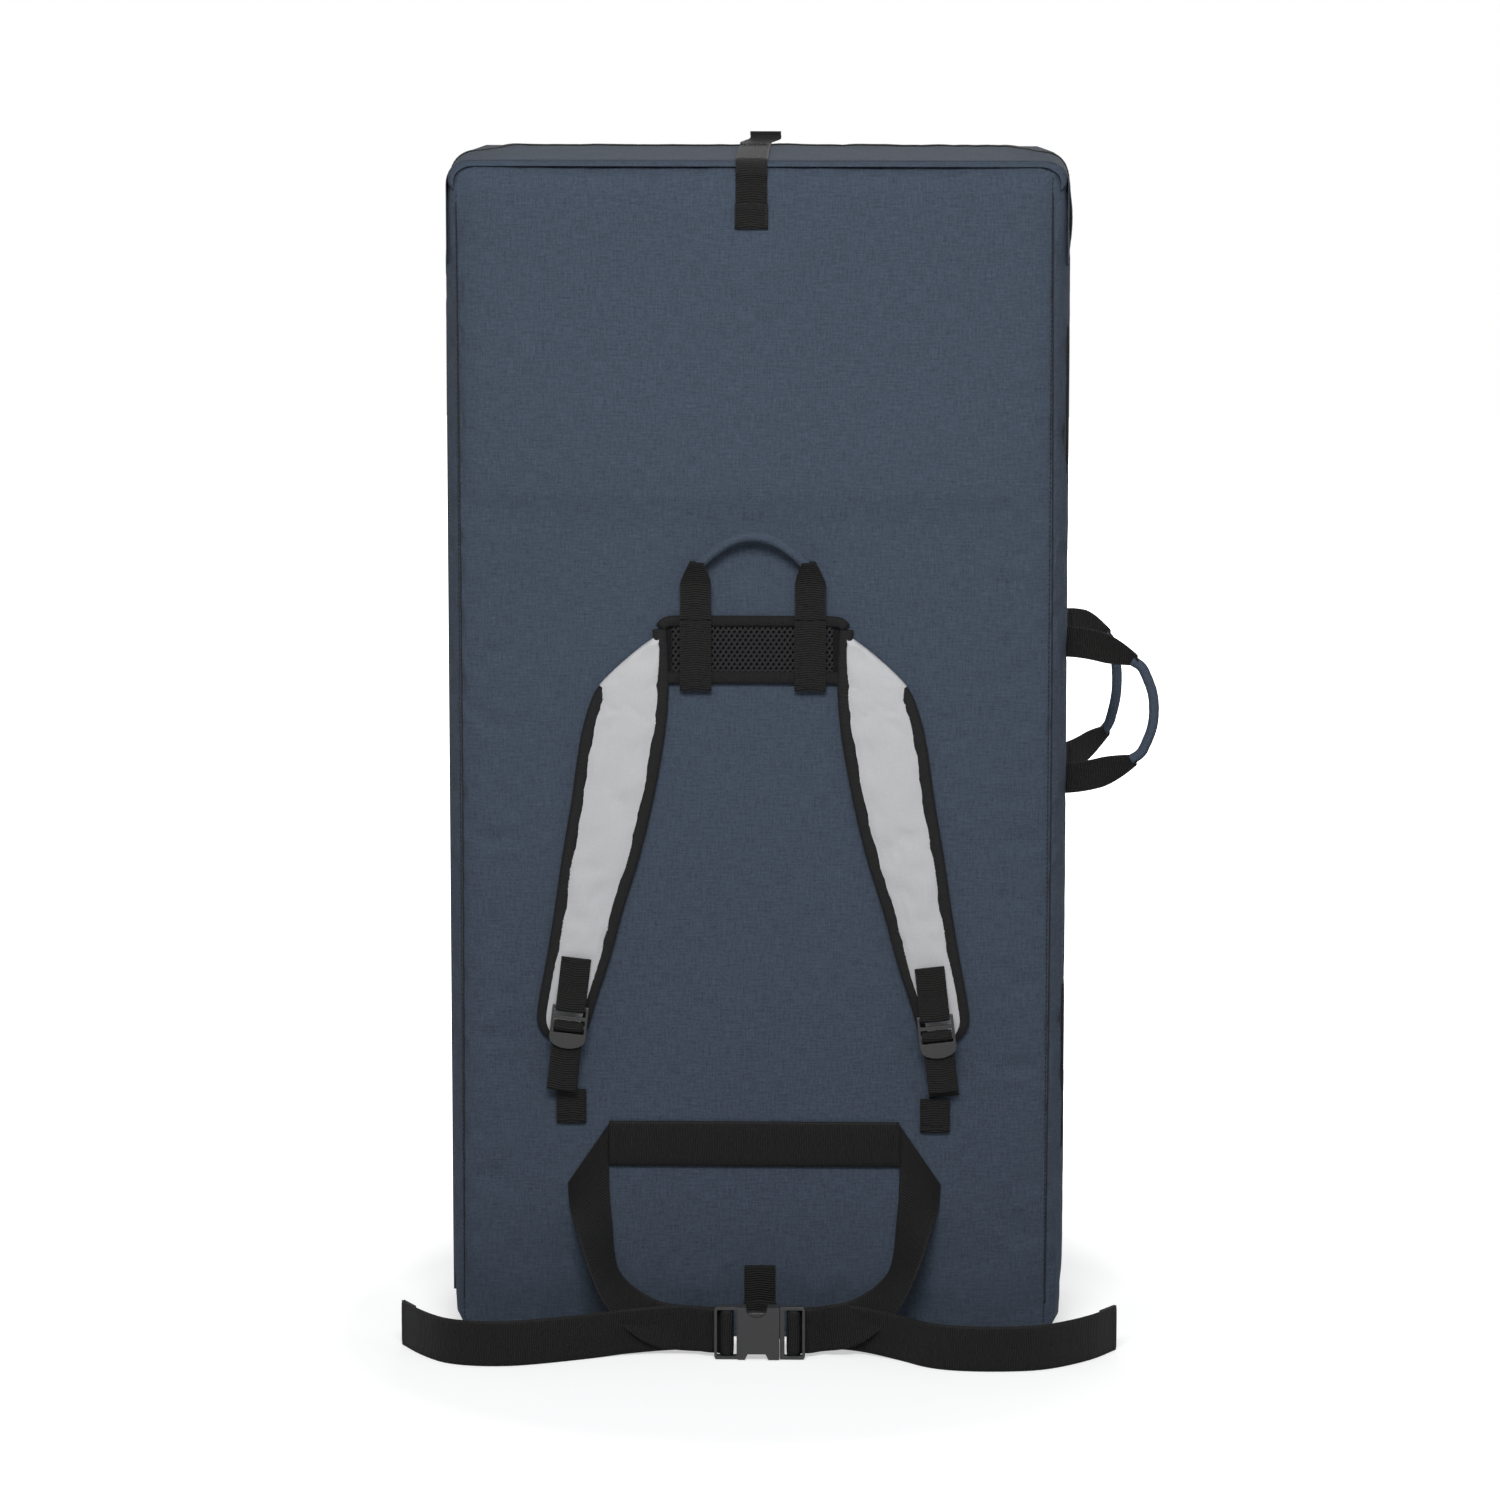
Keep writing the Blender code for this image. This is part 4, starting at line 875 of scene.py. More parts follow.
hinge = {"inner": -0.2435, "bend": -0.256, "outer": -0.2700, "layer": 0.0010, "radius": 0.0010, "low": 0.020,
         "high": 0.903}
hingeY = padForm["parting"]
nearLeaf = [(hinge[at], hingeY - hinge["radius"]) for at in ("inner", "bend", "outer")]
turnLine = [(hinge["outer"] - hinge["radius"] * math.sin(t), hingeY - hinge["radius"] * math.cos(t))
            for t in (math.pi * k / 8 for k in range(1, 8))]
farLeaf = [(hinge[at], hingeY + hinge["radius"]) for at in ("outer", "bend", "inner")]
path = nearLeaf + turnLine + farLeaf
strip = ribbon("hinge_cloth", [(x, y, hinge["low"]) for x, y in path],
               [(x, y, hinge["high"]) for x, y in path], hinge["layer"], "shell", gap=0.0016, cells=60,
               steps=2)
acrossJoint(strip, ["front_hinge_leaf", "rear_hinge_leaf"],
            (0, hingeY + hinge["radius"] * 0.9, 0))
print("landing panels and hinge made")


# closure lid and its strap

lidForm = {"hinge": -0.0320, "thick": 0.0013, "wing": 0.933, "corner": 0.0200, "topBack": 0.0968,
           "wingBack": 0.0409, "ramp": 0.045, "flat": 0.252, "flare": 0.0024, "hemRise": 0.0100,
           "hemHigh": 0.958, "hemSoft": 0.025, "wingLong": 0.082}
# how high the waves are, over how far they start, and their pitches along and across, broad and fine
lidWave = {"high": 0.0016, "start": 0.05, "broad": (16.0, 9.0, 4.0), "fine": (45.0, 25.0, 9.0),
           "fineShare": 0.5}
lidRim = {"wide": 0.0070, "thick": 0.0026, "sideMore": 1.1, "stitchY": -0.0022}
lidSeam = {"half": 0.2600, "low": 1.014, "front": -0.0060, "back": 0.0040, "frontDrop": 0.0019,
           "backDrop": 0.0011, "thick": 0.0007}
lidGusset = {"end": 1.010, "thick": 0.0011, "rows": 7, "gap": 0.0045, "tuck": 0.0034}
lidLow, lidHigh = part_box("lid")


def lidRoute(out=0.0):
    # from the right wing's hem over the top to the left wing's, in x and z
    f = lidForm
    reach, top, r = lidHigh.x - f["thick"] / 2 + out, lidHigh.z - f["thick"] / 2 + out, f["corner"]
    right = [(reach, z) for z in np.linspace(f["wing"], top - r, 12)[:-1]]
    right += [(reach - r + r * math.cos(t), top - r + r * math.sin(t))
              for t in np.linspace(0, math.pi / 2, 10)]
    across = [(x, top) for x in np.linspace(reach - r, 0, 34)[1:]]
    return np.array(right + across + [(-x, z) for x, z in reversed((right + across)[:-1])])


def lidBack(x):
    rise = clamp((lidForm["flat"] - abs(x)) / lidForm["ramp"])
    return lidForm["wingBack"] + (lidForm["topBack"] - lidForm["wingBack"]) * rise * rise * (3 - 2 * rise)


def lidLift(x, y, z):
    # the cloth lies in soft waves, more so at its free back edge
    along = x if z > 1.0 else z
    broad, fine = (noise.noise(Vector((along * a, y * b, seed)))
                   for a, b, seed in (lidWave["broad"], lidWave["fine"]))
    free = clamp((y - lidForm["hinge"]) / lidWave["start"])
    return lidWave["high"] * free * (broad + lidWave["fineShare"] * fine)


def wingShare(z):
    # how far down a wing a height lies, as a soft rise and fall between the corner and the hem
    return math.sin(math.pi * clamp((z - lidForm["wing"]) / lidForm["wingLong"])) ** 0.7


def waveLid(piece):
    for vert in piece.data.vertices:
        x, y, z = vert.co
        lift = abs(lidLift(x, y, z))
        top = clamp((z - 0.995) / 0.02)
        # the hem rises a little to the front, and the wings flare to the back
        front = 1 - clamp((y - lidForm["hinge"]) / 0.06)
        outer = clamp((y - 0.006) / 0.040) * wingShare(z)
        vert.co.z += (lift * top + lidForm["hemRise"] * front
                      * clamp((lidForm["hemHigh"] - z) / lidForm["hemSoft"]))
        vert.co.x += math.copysign(lidForm["flare"] * outer ** 3 + lift * (1 - top), x)
    piece.data.update()


def band(name, line, side, up, width, height, finish, power=4.0, sides=20, seed=0.0, gather=0.0):
    # tape folded round an edge: a flattened section along the line
    far = lengths(line)
    side, up = np.broadcast_to(side, line.shape), np.broadcast_to(up, line.shape)
    rings = []
    for i, point in enumerate(line):
        fat = 1 + gather * noise.noise(Vector((far[i] * 260.0, seed, 0.0)))
        rings.append(np.array([point + side[i] * c * width / 2 + up[i] * s * height / 2 * fat
                               for c, s in section(sides, power)]))
    return loftRings(name, rings, (np.linspace(0, 2 * (width + height), sides + 1), far), finish)


def lidCloth(route):
    lid = ribbon("lid_cloth", [(x, lidForm["hinge"], z) for x, z in route],
                 [(x, lidBack(x), z) for x, z in route], lidForm["thick"], "shell", gap=0.0035, cells=22,
                 steps=1)
    waveLid(lid)
    settle(lid, "lid_body", ["lid", "lid_binding"])
    line = evenLine(smoothLine([(x, lidBack(x) + lidRim["wide"] / 2, z) for x, z in route], 2), 0.003)
    inward = unit(np.array([[x * max(0.0, 1 - (z - 0.99) / 0.03) if z < 1.02 else 0.0, 0.0,
                             max(0.001, z - 0.995)]
                            for x, _, z in line]))
    run = unit(np.gradient(line, axis=0))
    side = unit(np.cross(run, inward))
    up = unit(np.cross(side, run)) * np.array([[1 + lidRim["sideMore"] * wingShare(z)] for z in line[:, 2]])
    rim = band("lid_rim", line, side, up, lidRim["wide"], lidRim["thick"], "binding", seed=3.0, gather=0.1)
    waveLid(rim)
    settle(rim, "lid_body")
    stitches("lid_body", line + up * (lidRim["thick"] / 2) + np.array([0, lidRim["stitchY"], 0]), (0, 0.2, 1),
             thread="greyThread", pitch=0.0036)


def lidHinge(route):
    s, hinge = lidSeam, lidForm["hinge"]
    top = [(x, z) for x, z in route if z > s["low"] and abs(x) < s["half"]]
    acrossJoint(ribbon("lid_seam", [(x, hinge + s["front"], z - s["frontDrop"]) for x, z in top],
                       [(x, hinge + s["back"], z - s["backDrop"]) for x, z in top], s["thick"], "shell",
                       steps=1),
                [],
                (0, hinge + 0.0004, 0))
    # the front half's gusset rises from the face's seam to the lid's front edge, round the top end
    g, rows = lidGusset, []
    for share in np.linspace(0, 1, g["rows"]):
        turn = share * math.pi / 2
        drop = -(0.0024 * (1 - math.sin(turn)) + 0.0011 * (1 - share) + 0.0004)
        y = hinge - g["gap"] - (hinge - g["gap"] - padForm["front"] - 0.0032) * math.cos(turn)
        rows.append([(x, y, z) for (x, z), (_, level) in zip(lidRoute(drop), route) if level > g["end"]])
    gusset = surface("lid_gusset", rows, g["thick"], "shell")
    for vert in gusset.data.vertices:
        low = 1 - clamp((vert.co.z - g["end"] + 0.002) / 0.012)
        vert.co.x -= math.copysign(g["tuck"] * low, vert.co.x)
    settle(gusset, "front_half")


lidCloth(lidRoute())
lidHinge(lidRoute())

closure = {"x": -0.0045, "width": 0.027, "low": 0.975, "hem": 0.021, "hemMore": 0.0012, "thick": 0.0018,
           "edge": 0.0118, "top": 1.0326, "end": 0.1038, "lift": 0.0020, "round": 0.0014,
           "stitchHalf": 0.0115, "turn": 0.006, "tabShift": 0.008}
# the tab's path from the strap's end: across, back and up
tabRise = [(0.0, 0.0, 0.0), (0.0, 0.010, 0.0), (0.003, 0.021, 0.0003), (closure["tabShift"], 0.031, 0.0016),
           (closure["tabShift"], 0.0345, 0.0045), (closure["tabShift"], 0.0352, 0.0075)]


def closureStrap():
    c, hinge = closure, lidForm["hinge"]
    half = c["width"] / 2
    centreY, centreZ = padForm["front"] + c["edge"], padForm["high"] - c["edge"] + c["lift"]
    radius = c["edge"] + c["round"]
    path = [(faceY(z, c["x"]) - clear - c["thick"] / 2, z) for z in np.linspace(c["low"], centreZ - 0.004, 9)]
    path += [(centreY - radius * math.cos(t), centreZ + radius * math.sin(t)) for t in
             np.linspace(0.12, math.pi / 2, 7)]
    path += [(hinge - 0.0002, c["top"]), (hinge + 0.0016, c["top"])]
    face = ribbon("closure_strap_face", *strapEdges(path, c["x"], c["width"]), c["thick"], "webbing", steps=3,
                  cells=10, gap=0.0025)
    acrossJoint(face, ["closure_strap_front"],
                (0, hinge + 0.0010, 0))
    hem = [(faceY(z, c["x"]) - 0.0004 - 1.5 * c["thick"], z) for z in
           np.linspace(c["low"] - 0.0004, c["low"] + c["hem"], 7)]
    sewnStrap("closure_strap_hem", "front_half", hem, c["x"], c["width"] + c["hemMore"], c["thick"], steps=3)
    for z in (c["low"] + c["hem"] - 0.0035, c["low"] + 0.0035):
        bars("front_half", c["x"], c["stitchHalf"], z, faceY(z, c["x"]) - 0.0004 - 2 * c["thick"],
             pitch=0.003)
    run = [(y, c["top"] + 0.0004 * math.sin(y * 60)) for y in np.linspace(hinge + 0.0016, c["end"], 14)]
    sewnStrap("closure_strap_run", "lid_body", run, c["x"], c["width"], c["thick"], ["closure_strap_top"])
    z = c["top"] + c["thick"] / 2 + 0.0002
    for y in (c["end"] - 0.012, c["end"] - 0.020):
        stitches("lid_body", [(c["x"] - c["stitchHalf"], y, z), (c["x"] + c["stitchHalf"], y, z)], (0, 0, 1),
                 "greyThread", 0.003)
    edges = [[(c["x"] + dx + edge, c["end"] + dy, c["top"] + dz) for dx, dy, dz in tabRise]
             for edge in (-half, half)]
    acrossJoint(ribbon("closure_strap_tab", *edges, c["thick"], "webbing", cells=10, gap=0.0025),
                ["closure_strap_end"],
                (0, c["end"] + c["turn"], 0))


closureStrap()
print("lid and closure strap made")


# yoke, its spacer mesh, and the haul handle

yoke = {"left": -0.0802, "right": 0.0742, "low": 0.5830, "high": 0.6410, "back": -0.0456, "middle": -0.003,
        "inset": 0.002, "corner": 0.008, "backing": 0.0012, "binding": 0.0092, "baseMore": 1.12,
        "bindingThick": 0.0056, "meshBack": -0.0478, "meshThick": 0.0018, "pitchX": 0.0048, "pitchZ": 0.0070,
        "holeX": 0.72, "holeZ": 0.56, "slant": 0.0006}


def slab(name, outline, yNear, yFar, finish, soft=0.0006):
    # a flat piece from its outline in x and z, with softened edges
    step = soft * np.sign(yFar - yNear)
    return flatPiece(name, [insetRing(np.array(outline), inset, y) for inset, y in
                            ((3 * soft, yNear), (0, yNear + step), (0, yFar - step), (3 * soft, yFar))],
                     finish)


def diamondNet(name, left, right, low, high, back, thick):
    # a net of diamonds: each cell is a diamond ring, front and back, with its hole's wall
    px, pz = yoke["pitchX"], yoke["pitchZ"]
    work = bmesh.new()
    made = {}

    def point(x, y, z):
        key = (round(x, 6), round(y, 6), round(z, 6))
        if key not in made:
            made[key] = work.verts.new((x, y, z))
        return made[key]

    def cell(cx, cz):
        ends = [(cx + px / 2, cz), (cx, cz + pz / 2), (cx - px / 2, cz), (cx, cz - pz / 2)]
        if any(x < left - 1e-6 or x > right + 1e-6 or z < low - 1e-6 or z > high + 1e-6 for x, z in ends):
            return
        inner = [(cx + (x - cx) * yoke["holeX"] + np.sign(z - cz) * yoke["slant"],
                  cz + (z - cz) * yoke["holeZ"]) for x, z in ends]
        sides = [(ends[k], ends[(k + 1) % 4], inner[(k + 1) % 4], inner[k]) for k in range(4)]
        for y, turned in ((back - thick, False), (back, True)):
            for side in sides:
                quad = [point(x, y, z) for x, z in side]
                work.faces.new(quad[::-1] if turned else quad)
        for _, _, (x1, z1), (x0, z0) in sides:
            work.faces.new([point(x0, back - thick, z0), point(x1, back - thick, z1), point(x1, back, z1),
                            point(x0, back, z0)])

    for row in range(int((high - low) / (pz / 2)) + 1):
        for column in range(int((right - left) / px) + 1):
            cell(left + (column + 0.5 * (row % 2)) * px, low + row * pz / 2)
    bmesh.ops.recalc_face_normals(work, faces=work.faces)
    bmesh.ops.bridge_loops(work, edges=[edge for edge in work.edges if edge.is_boundary])
    bmesh.ops.recalc_face_normals(work, faces=work.faces)
    mesh = bpy.data.meshes.new(name)
    work.to_mesh(mesh)
    work.free()
    mesh.uv_layers.new(name="cloth")
    piece = linked(name, mesh, "mesh")
    modify(piece, "SUBSURF", levels=1, render_levels=1)
    return bake(piece)


def yokeBinding(name, line, wide, stitchSide):
    line = evenLine(smoothLine(line, 6), 0.003)
    piece = band(f"yoke_binding_{name}", line, unit(np.cross(ahead, np.gradient(line, axis=0))), ahead, wide,
                 yoke["bindingThick"], "binding", seed=5.0, gather=0.1)
    settle(piece, "front_half")
    stitches("front_half", line + np.array([0, -yoke["bindingThick"] / 2, stitchSide * wide * 0.28]), ahead,
             "greyThread", 0.0034)


left, right, inset = yoke["left"], yoke["right"], yoke["inset"]
settle(slab("yoke_backing", roundedBox(left + inset, right - inset, yoke["low"] + inset, yoke["high"] - inset,
                                       yoke["corner"]), yoke["back"], yoke["back"] - yoke["backing"],
            "backing"),
       "front_half", ["yoke_pad", "yoke_mesh"])
settle(diamondNet("yoke_net", left + 0.006, right - 0.006, yoke["low"] + 0.006, yoke["high"] - 0.004,
                  yoke["meshBack"], yoke["meshThick"]), "front_half")
bindingY = yoke["back"] - yoke["bindingThick"] / 2
topEnd = [(-0.0020, 0.6318), (0.0014, 0.6353), (0.0090, 0.6370)]
yokeBinding("top", [(left + x, bindingY, z) for x, z in topEnd]
            + [(-0.04, bindingY, 0.6372), (0.034, bindingY, 0.6372)]
            + [(right - x, bindingY, z) for x, z in reversed(topEnd)], yoke["binding"], -1)
yokeBinding("base", [(left + inset, bindingY, 0.5878), (-0.03, bindingY, 0.5882), (0.024, bindingY, 0.5882),
                     (right - inset, bindingY, 0.5878)], yoke["binding"] * yoke["baseMore"], 1)

haul = {"spread": 0.0985, "width": 0.027, "patchY": -0.0525, "low": 0.577, "hinge": 0.6385, "thick": 0.0018,
        "legHigh": 0.0515, "foldFrom": 0.60, "foldNarrow": 0.56, "foldThick": 6.6, "foldShift": 0.0012,
        "foldCup": 0.0007, "waist": 0.03, "waistEnd": 0.7, "gripRadius": 0.0046, "gripEnd": 0.0016,
        "rise": 0.0220, "lean": 0.008}


def haulLeg(side, sign):
    h = haul
    x, half = yoke["middle"] + sign * h["spread"] / 2, h["width"] / 2
    y = h["patchY"] - h["thick"] / 2 - 0.0001
    patch = [(h["patchY"], z) for z in np.linspace(h["low"], h["hinge"] - 0.0004, 14)]
    sewnStrap(f"haul_patch_{side}_webbing", "front_half", patch, x, h["width"], h["thick"],
              [f"haul_patch_{side}"], cells=12)
    boxCross("front_half", x, half - 0.0028, h["low"] + 0.0095, h["hinge"] - 0.005, y)
    bars("front_half", x, half - 0.002, h["low"] + 0.003, y, 3)

    def leg(u, across, through):
        # flat webbing whose top corners fold in over the grip
        fold = clamp((u - h["foldFrom"]) / (1 - h["foldFrom"]))
        wide = half * (1 - h["foldNarrow"] * fold ** 1.3)
        thick = h["thick"] / 2 * (1 + h["foldThick"] * fold)
        waist = 1 - h["waist"] * math.sin(math.pi * min(1.0, u / h["waistEnd"]))
        bend = through * thick + h["foldCup"] * fold * math.cos(across * math.pi)
        return np.array([x - sign * h["foldShift"] * fold + across * wide * waist,
                         h["patchY"] - h["lean"] * u * u + bend, h["hinge"] + 0.0002 + h["legHigh"] * u])

    settle(formed(f"haul_leg_{side}_webbing", leg, 26, "webbing", h["width"]), "haul_handle",
           [f"haul_leg_{side}"])
    bars("haul_handle", x, half - 0.002, h["hinge"] + 0.0118, y - 0.0003, 2)


def haulGrip():
    reach = haul["spread"] / 2 - haul["gripEnd"]
    topZ, topY = haul["hinge"] + haul["legHigh"] - 0.0050, haul["patchY"] - haul["lean"] + 0.0014
    line = []
    for share in (-1, -0.92, -0.75, -0.4, 0, 0.4, 0.75, 0.92, 1):
        bow = 1 - share * share
        line.append((yoke["middle"] + share * reach, topY - haul["lean"] * bow / 2,
                     topZ + (haul["rise"] + 0.0062) * bow))
    settle(gripTube("haul_grip_cloth", line, haul["gripRadius"], (7.0, 0.0)), "haul_handle",
           ["haul_grip"])


for side, sign in bothSides:
    haulLeg(side, sign)
haulGrip()

# the seams down both sides of the face: a thin dark cord laid on the cloth, the seam's thread line and the
# painted shadow of its groove
faceSeamShade = {"left": (-0.2562, 0.996), "right": (0.2515, 1.004), "low": 0.034, "sway": 0.0022, "turn": 3.1,
            "radius": 0.0008, "points": 160}
for side, _ in bothSides:
    x, top = faceSeamShade[side]
    line = [bpy.data.objects["front_pad"].ray_cast(
        (x + faceSeamShade["sway"] * math.sin(z * faceSeamShade["turn"]), -0.5, z), (0, 1, 0))[1]
        for z in np.linspace(faceSeamShade["low"], top, faceSeamShade["points"])]
    settle(tubeAlong(f"face_seam_shade_{side}", smoothLine(line, 1), faceSeamShade["radius"], "thread", sides=8),
           "front_half")
print("yoke and haul handle made")


# padded shoulder straps, their locks and adjusters

strap = {"top": 0.629, "length": 0.363, "reach": 0.1875, "middle": -0.003, "back": -0.0456, "thick": 0.0086,
         "edgeThick": 0.0048, "puff": 0.0009, "binding": 0.0118, "bindingThick": 0.0066, "foldAt": 0.132,
         "heldBelow": 0.345, "start": 0.0010, "cells": 12, "faceIn": 0.55, "mostIn": 0.4, "foldSoft": 0.03,
         "crown": 5, "tipShare": 0.35, "tipSoft": 0.03, "wrinkle": 0.00035, "wrinkleAcross": 45.0,
         "wrinkleDown": 24.0}
# down the strap, then its inner and outer edges across the reach, as shares
strapShares = [(0.0, 0.397, 0.405), (0.055, 0.389, 0.549), (0.132, 0.387, 0.704), (0.19, 0.392, 0.757),
               (0.273, 0.411, 0.797), (0.41, 0.459, 0.835), (0.548, 0.523, 0.88), (0.672, 0.597, 0.915),
               (0.796, 0.661, 0.955), (0.89, 0.72, 0.989), (0.94, 0.748, 1.0), (0.967, 0.764, 0.986),
               (0.986, 0.796, 0.953), (0.997, 0.837, 0.912), (1.0, 0.868, 0.88)]


def edgeLine(column, sign):
    s = strap
    return smoothLine([(s["middle"] + sign * row[column] * s["reach"], 0.0, s["top"] - row[0] * s["length"])
                       for row in strapShares], 5)


def strapFace(side, sign, inner, outer):
    # the padded face, from rows across the strap between the tapes
    s = strap
    share = np.linspace(0, 1, s["cells"] + 1)
    inset = s["binding"] * s["faceIn"]
    rings = []
    for a, b in zip(inner, outer):
        wide = np.linalg.norm(b - a)
        if wide <= 0.004:
            continue
        way, down = (b - a) / wide, (s["top"] - a[2]) / s["length"]
        bound, most = clamp((down - s["foldAt"]) / s["foldSoft"]), wide * s["mostIn"]
        start, end = a + way * min(inset, most), b - way * min(inset * bound, most)
        row = [start + (end - start) * t for t in share]
        rise = s["edgeThick"] + (s["thick"] - s["edgeThick"]) * (1 - np.abs(2 * share - 1) ** s["crown"])
        rise = rise * min(1.0, s["tipShare"] + wide / s["tipSoft"])
        rings.append(np.array([p + np.array([0, s["back"] - r, 0]) for p, r in zip(row, rise)]
                              + [p + np.array([0, s["back"], 0]) for p in row[::-1]]))
    around = len(rings[0])
    body = loftRings(f"shoulder_{side}_face", rings, (np.zeros(around + 1), np.zeros(len(rings))),
                     "strapFace")
    planarCloth(body)
    places = placesOf(body)
    held = np.ones((len(rings), around))
    held[1:-1, 1:s["cells"]] = 0.0
    held = held.ravel()
    held[places[:, 2] < s["heldBelow"]] = 1.0
    moveTo(body, places + puffCloth(body, held, s["puff"]))
    modify(body, "SUBSURF", levels=1, render_levels=1, subdivision_type="SIMPLE")
    bake(body)
    for vert in body.data.vertices:
        x, y, z = vert.co
        if y < s["back"] - s["edgeThick"] * 0.8:
            place = Vector((x * s["wrinkleAcross"], sign * 3.0, z * s["wrinkleDown"]))
            vert.co.y += s["wrinkle"] * noise.fractal(place, 1.0, 2.0, 3)
    body.data.update()
    settle(body, f"shoulder_{side}", [f"shoulder_pad_{side}", f"shoulder_binding_{side}"])


def strapTape(side, sign, inner, outer):
    # up the inner edge, and round the end and up the outer one as far as the fold
    s = strap
    foldZ = s["top"] - s["foldAt"] * s["length"]
    bound = outer[outer[:, 2] < foldZ + 0.004]
    start = inner[:1] + (inner[:1] - inner[1:2]) * (s["start"] / lengths(inner[:2])[-1])
    line = evenLine(np.vstack([start, inner, bound[::-1]]), 0.0028)
    for _ in range(2):
        line[1:-1] = (line[:-2] + 2 * line[1:-1] + line[2:]) / 4
    inside = unit(np.cross(unit(np.gradient(line, axis=0)), ahead)) * -sign
    line = line + inside * s["binding"] / 2
    line[:, 1] = s["back"] - s["bindingThick"] / 2 + 0.0002
    piece = band(f"shoulder_{side}_tape", line, inside, ahead, s["binding"], s["bindingThick"], "binding",
                 seed=sign, gather=0.12)
    settle(piece, f"shoulder_{side}")
    stitches(f"shoulder_{side}", line + inside * s["binding"] * 0.27 + ahead * s["bindingThick"] * 0.49,
             ahead, "greyThread", 0.0036)


for side, sign in bothSides:
    edges = edgeLine(1, sign), edgeLine(2, sign)
    strapFace(side, sign, *edges)
    strapTape(side, sign, *edges)

lock = {"lean": math.radians(6.6), "x": 0.1575, "z": 0.3015, "drop": 0.007, "bar": 0.003, "tabSlot": 0.0062,
        "upperSlot": 0.0046, "lowerSlot": 0.0046, "wrap": 0.0034, "barWrap": 0.0029, "off": 0.0068,
        "y": -0.0621, "tab": 0.043, "width": 0.0258, "thick": 0.0018, "stitchHalf": 0.0105, "step": 0.0022,
        "tailZ": 0.226, "anchorTop": 0.2245, "anchorX": 0.158, "anchorHigh": 0.029, "anchorMore": 1.6,
        "split": 0.272}


def adjuster(side, sign):
    k = lock
    drop = k["drop"] if sign > 0 else 0.0
    lean = sign * k["lean"]
    down, over = np.array([math.sin(lean), 0, -math.cos(lean)]), np.array([math.cos(lean), 0, math.sin(lean)])
    origin = np.array([strap["middle"] + sign * k["x"], k["y"], k["z"] - drop - k["bar"] / 2])

    def edges(path, half):
        return [[origin + over * e * half + np.array([0, back, 0]) + down * below for back, below in path]
                for e in (-1, 1)]

    # the tab goes round the lock's top bar and back up behind itself
    w, half, thick = k["wrap"], k["width"] / 2, k["thick"]
    flat = k["off"] - clear - thick / 2
    back = flat - thick - clear
    tab = [(back, -k["tab"]), (back, -k["tab"] / 2), (-w * 0.75, -3 * w), (-w, 0), (-w * 0.7, w * 0.7),
           (0, w), (w * 0.7, w * 0.7), (w, 0), (flat, -3 * w), (flat, -k["tab"] / 2), (flat, -k["tab"])]
    settle(ribbon(f"lock_tab_{side}_webbing", *edges(tab, half), thick, "webbing", cells=10, gap=0.002),
           f"shoulder_{side}", [f"lock_tab_{side}"])
    front = back - thick / 2 - 0.0002
    for below in (-k["tab"] + 0.003, -k["tab"] * 0.42):
        ends = edges([(front, below)], k["stitchHalf"])
        stitches(f"shoulder_{side}", [end[0] for end in ends], ahead, "greyThread", 0.003)

    # the adjuster: up from its anchor, round the lock's middle bar, and down as a tail
    bar = k["bar"] + k["tabSlot"] + k["upperSlot"] + k["bar"]
    anchorBack = padForm["front"] - clear - thick / 2 - k["y"]
    tail = k["barWrap"] + clear / 2
    tailBelow = (origin[2] - k["tailZ"]) / math.cos(lean)
    anchorTop, splitZ = k["anchorTop"] - drop, k["split"] - drop
    anchorBelow = (origin[2] - anchorTop - half * math.sin(k["lean"])) / math.cos(lean) - clear
    load = tail + k["step"]
    overBar, underBar, b = (k["bar"] + k["upperSlot"]) / 2, (k["bar"] + k["lowerSlot"]) / 2, k["barWrap"]
    path = [(anchorBack, anchorBelow), (anchorBack * 0.8 + load * 0.2, anchorBelow - 4 * w),
            (load, bar + 4 * w), (load, bar + 2 * w), (load * 0.85, bar), (load * 0.5, bar - overBar * 0.9),
            (0, bar - overBar), (-b * 0.85, bar - overBar * 0.6), (-b, bar),
            (-b * 0.85, bar + underBar * 0.6), (0, bar + underBar), (tail * 0.8, bar + underBar * 1.4),
            (tail, bar + 3 * w), (tail, (bar + tailBelow) / 2 + 2 * w), (tail, tailBelow)]
    left, right = (smoothLine(edge, 4) for edge in edges(path, half))
    high = np.nonzero((left + right)[:, 2] / 2 > splitZ)[0]
    first, last = high[0], high[-1]
    for name, start, end in (("load", 0, first + 1), ("lock", first, last + 1), ("tail", last, len(left))):
        piece = ribbon(f"adjuster_{side}_{name}", left[start:end], right[start:end], thick, "webbing",
                       cells=10, gap=0.002, steps=1)
        if name == "lock":
            acrossJoint(piece, [],
                        (0, 0, splitZ + 0.012))
        else:
            acrossJoint(piece, [f"adjuster_{side}"] if name == "load" else [],
                        (0, 0, splitZ))
    x, low, y = strap["middle"] + sign * k["anchorX"], anchorTop - k["anchorHigh"], padForm["front"] - clear
    anchor = [(y - thick * 0.5, low - 0.0006)] + [(y - 1.5 * thick, z)
                                                  for z in np.linspace(low, anchorTop - clear, 7)]
    sewnStrap(f"adjuster_{side}_anchor", "front_half", anchor, x, k["width"], thick * k["anchorMore"],
              [f"adjuster_anchor_{side}"], gap=0.002)
    for z in (low + 0.005, anchorTop - 0.008):
        bars("front_half", x, k["stitchHalf"], z, y - 2.35 * thick, 2)


for side, sign in bothSides:
    adjuster(side, sign)
print("shoulder straps made")


# waist belt and base tab

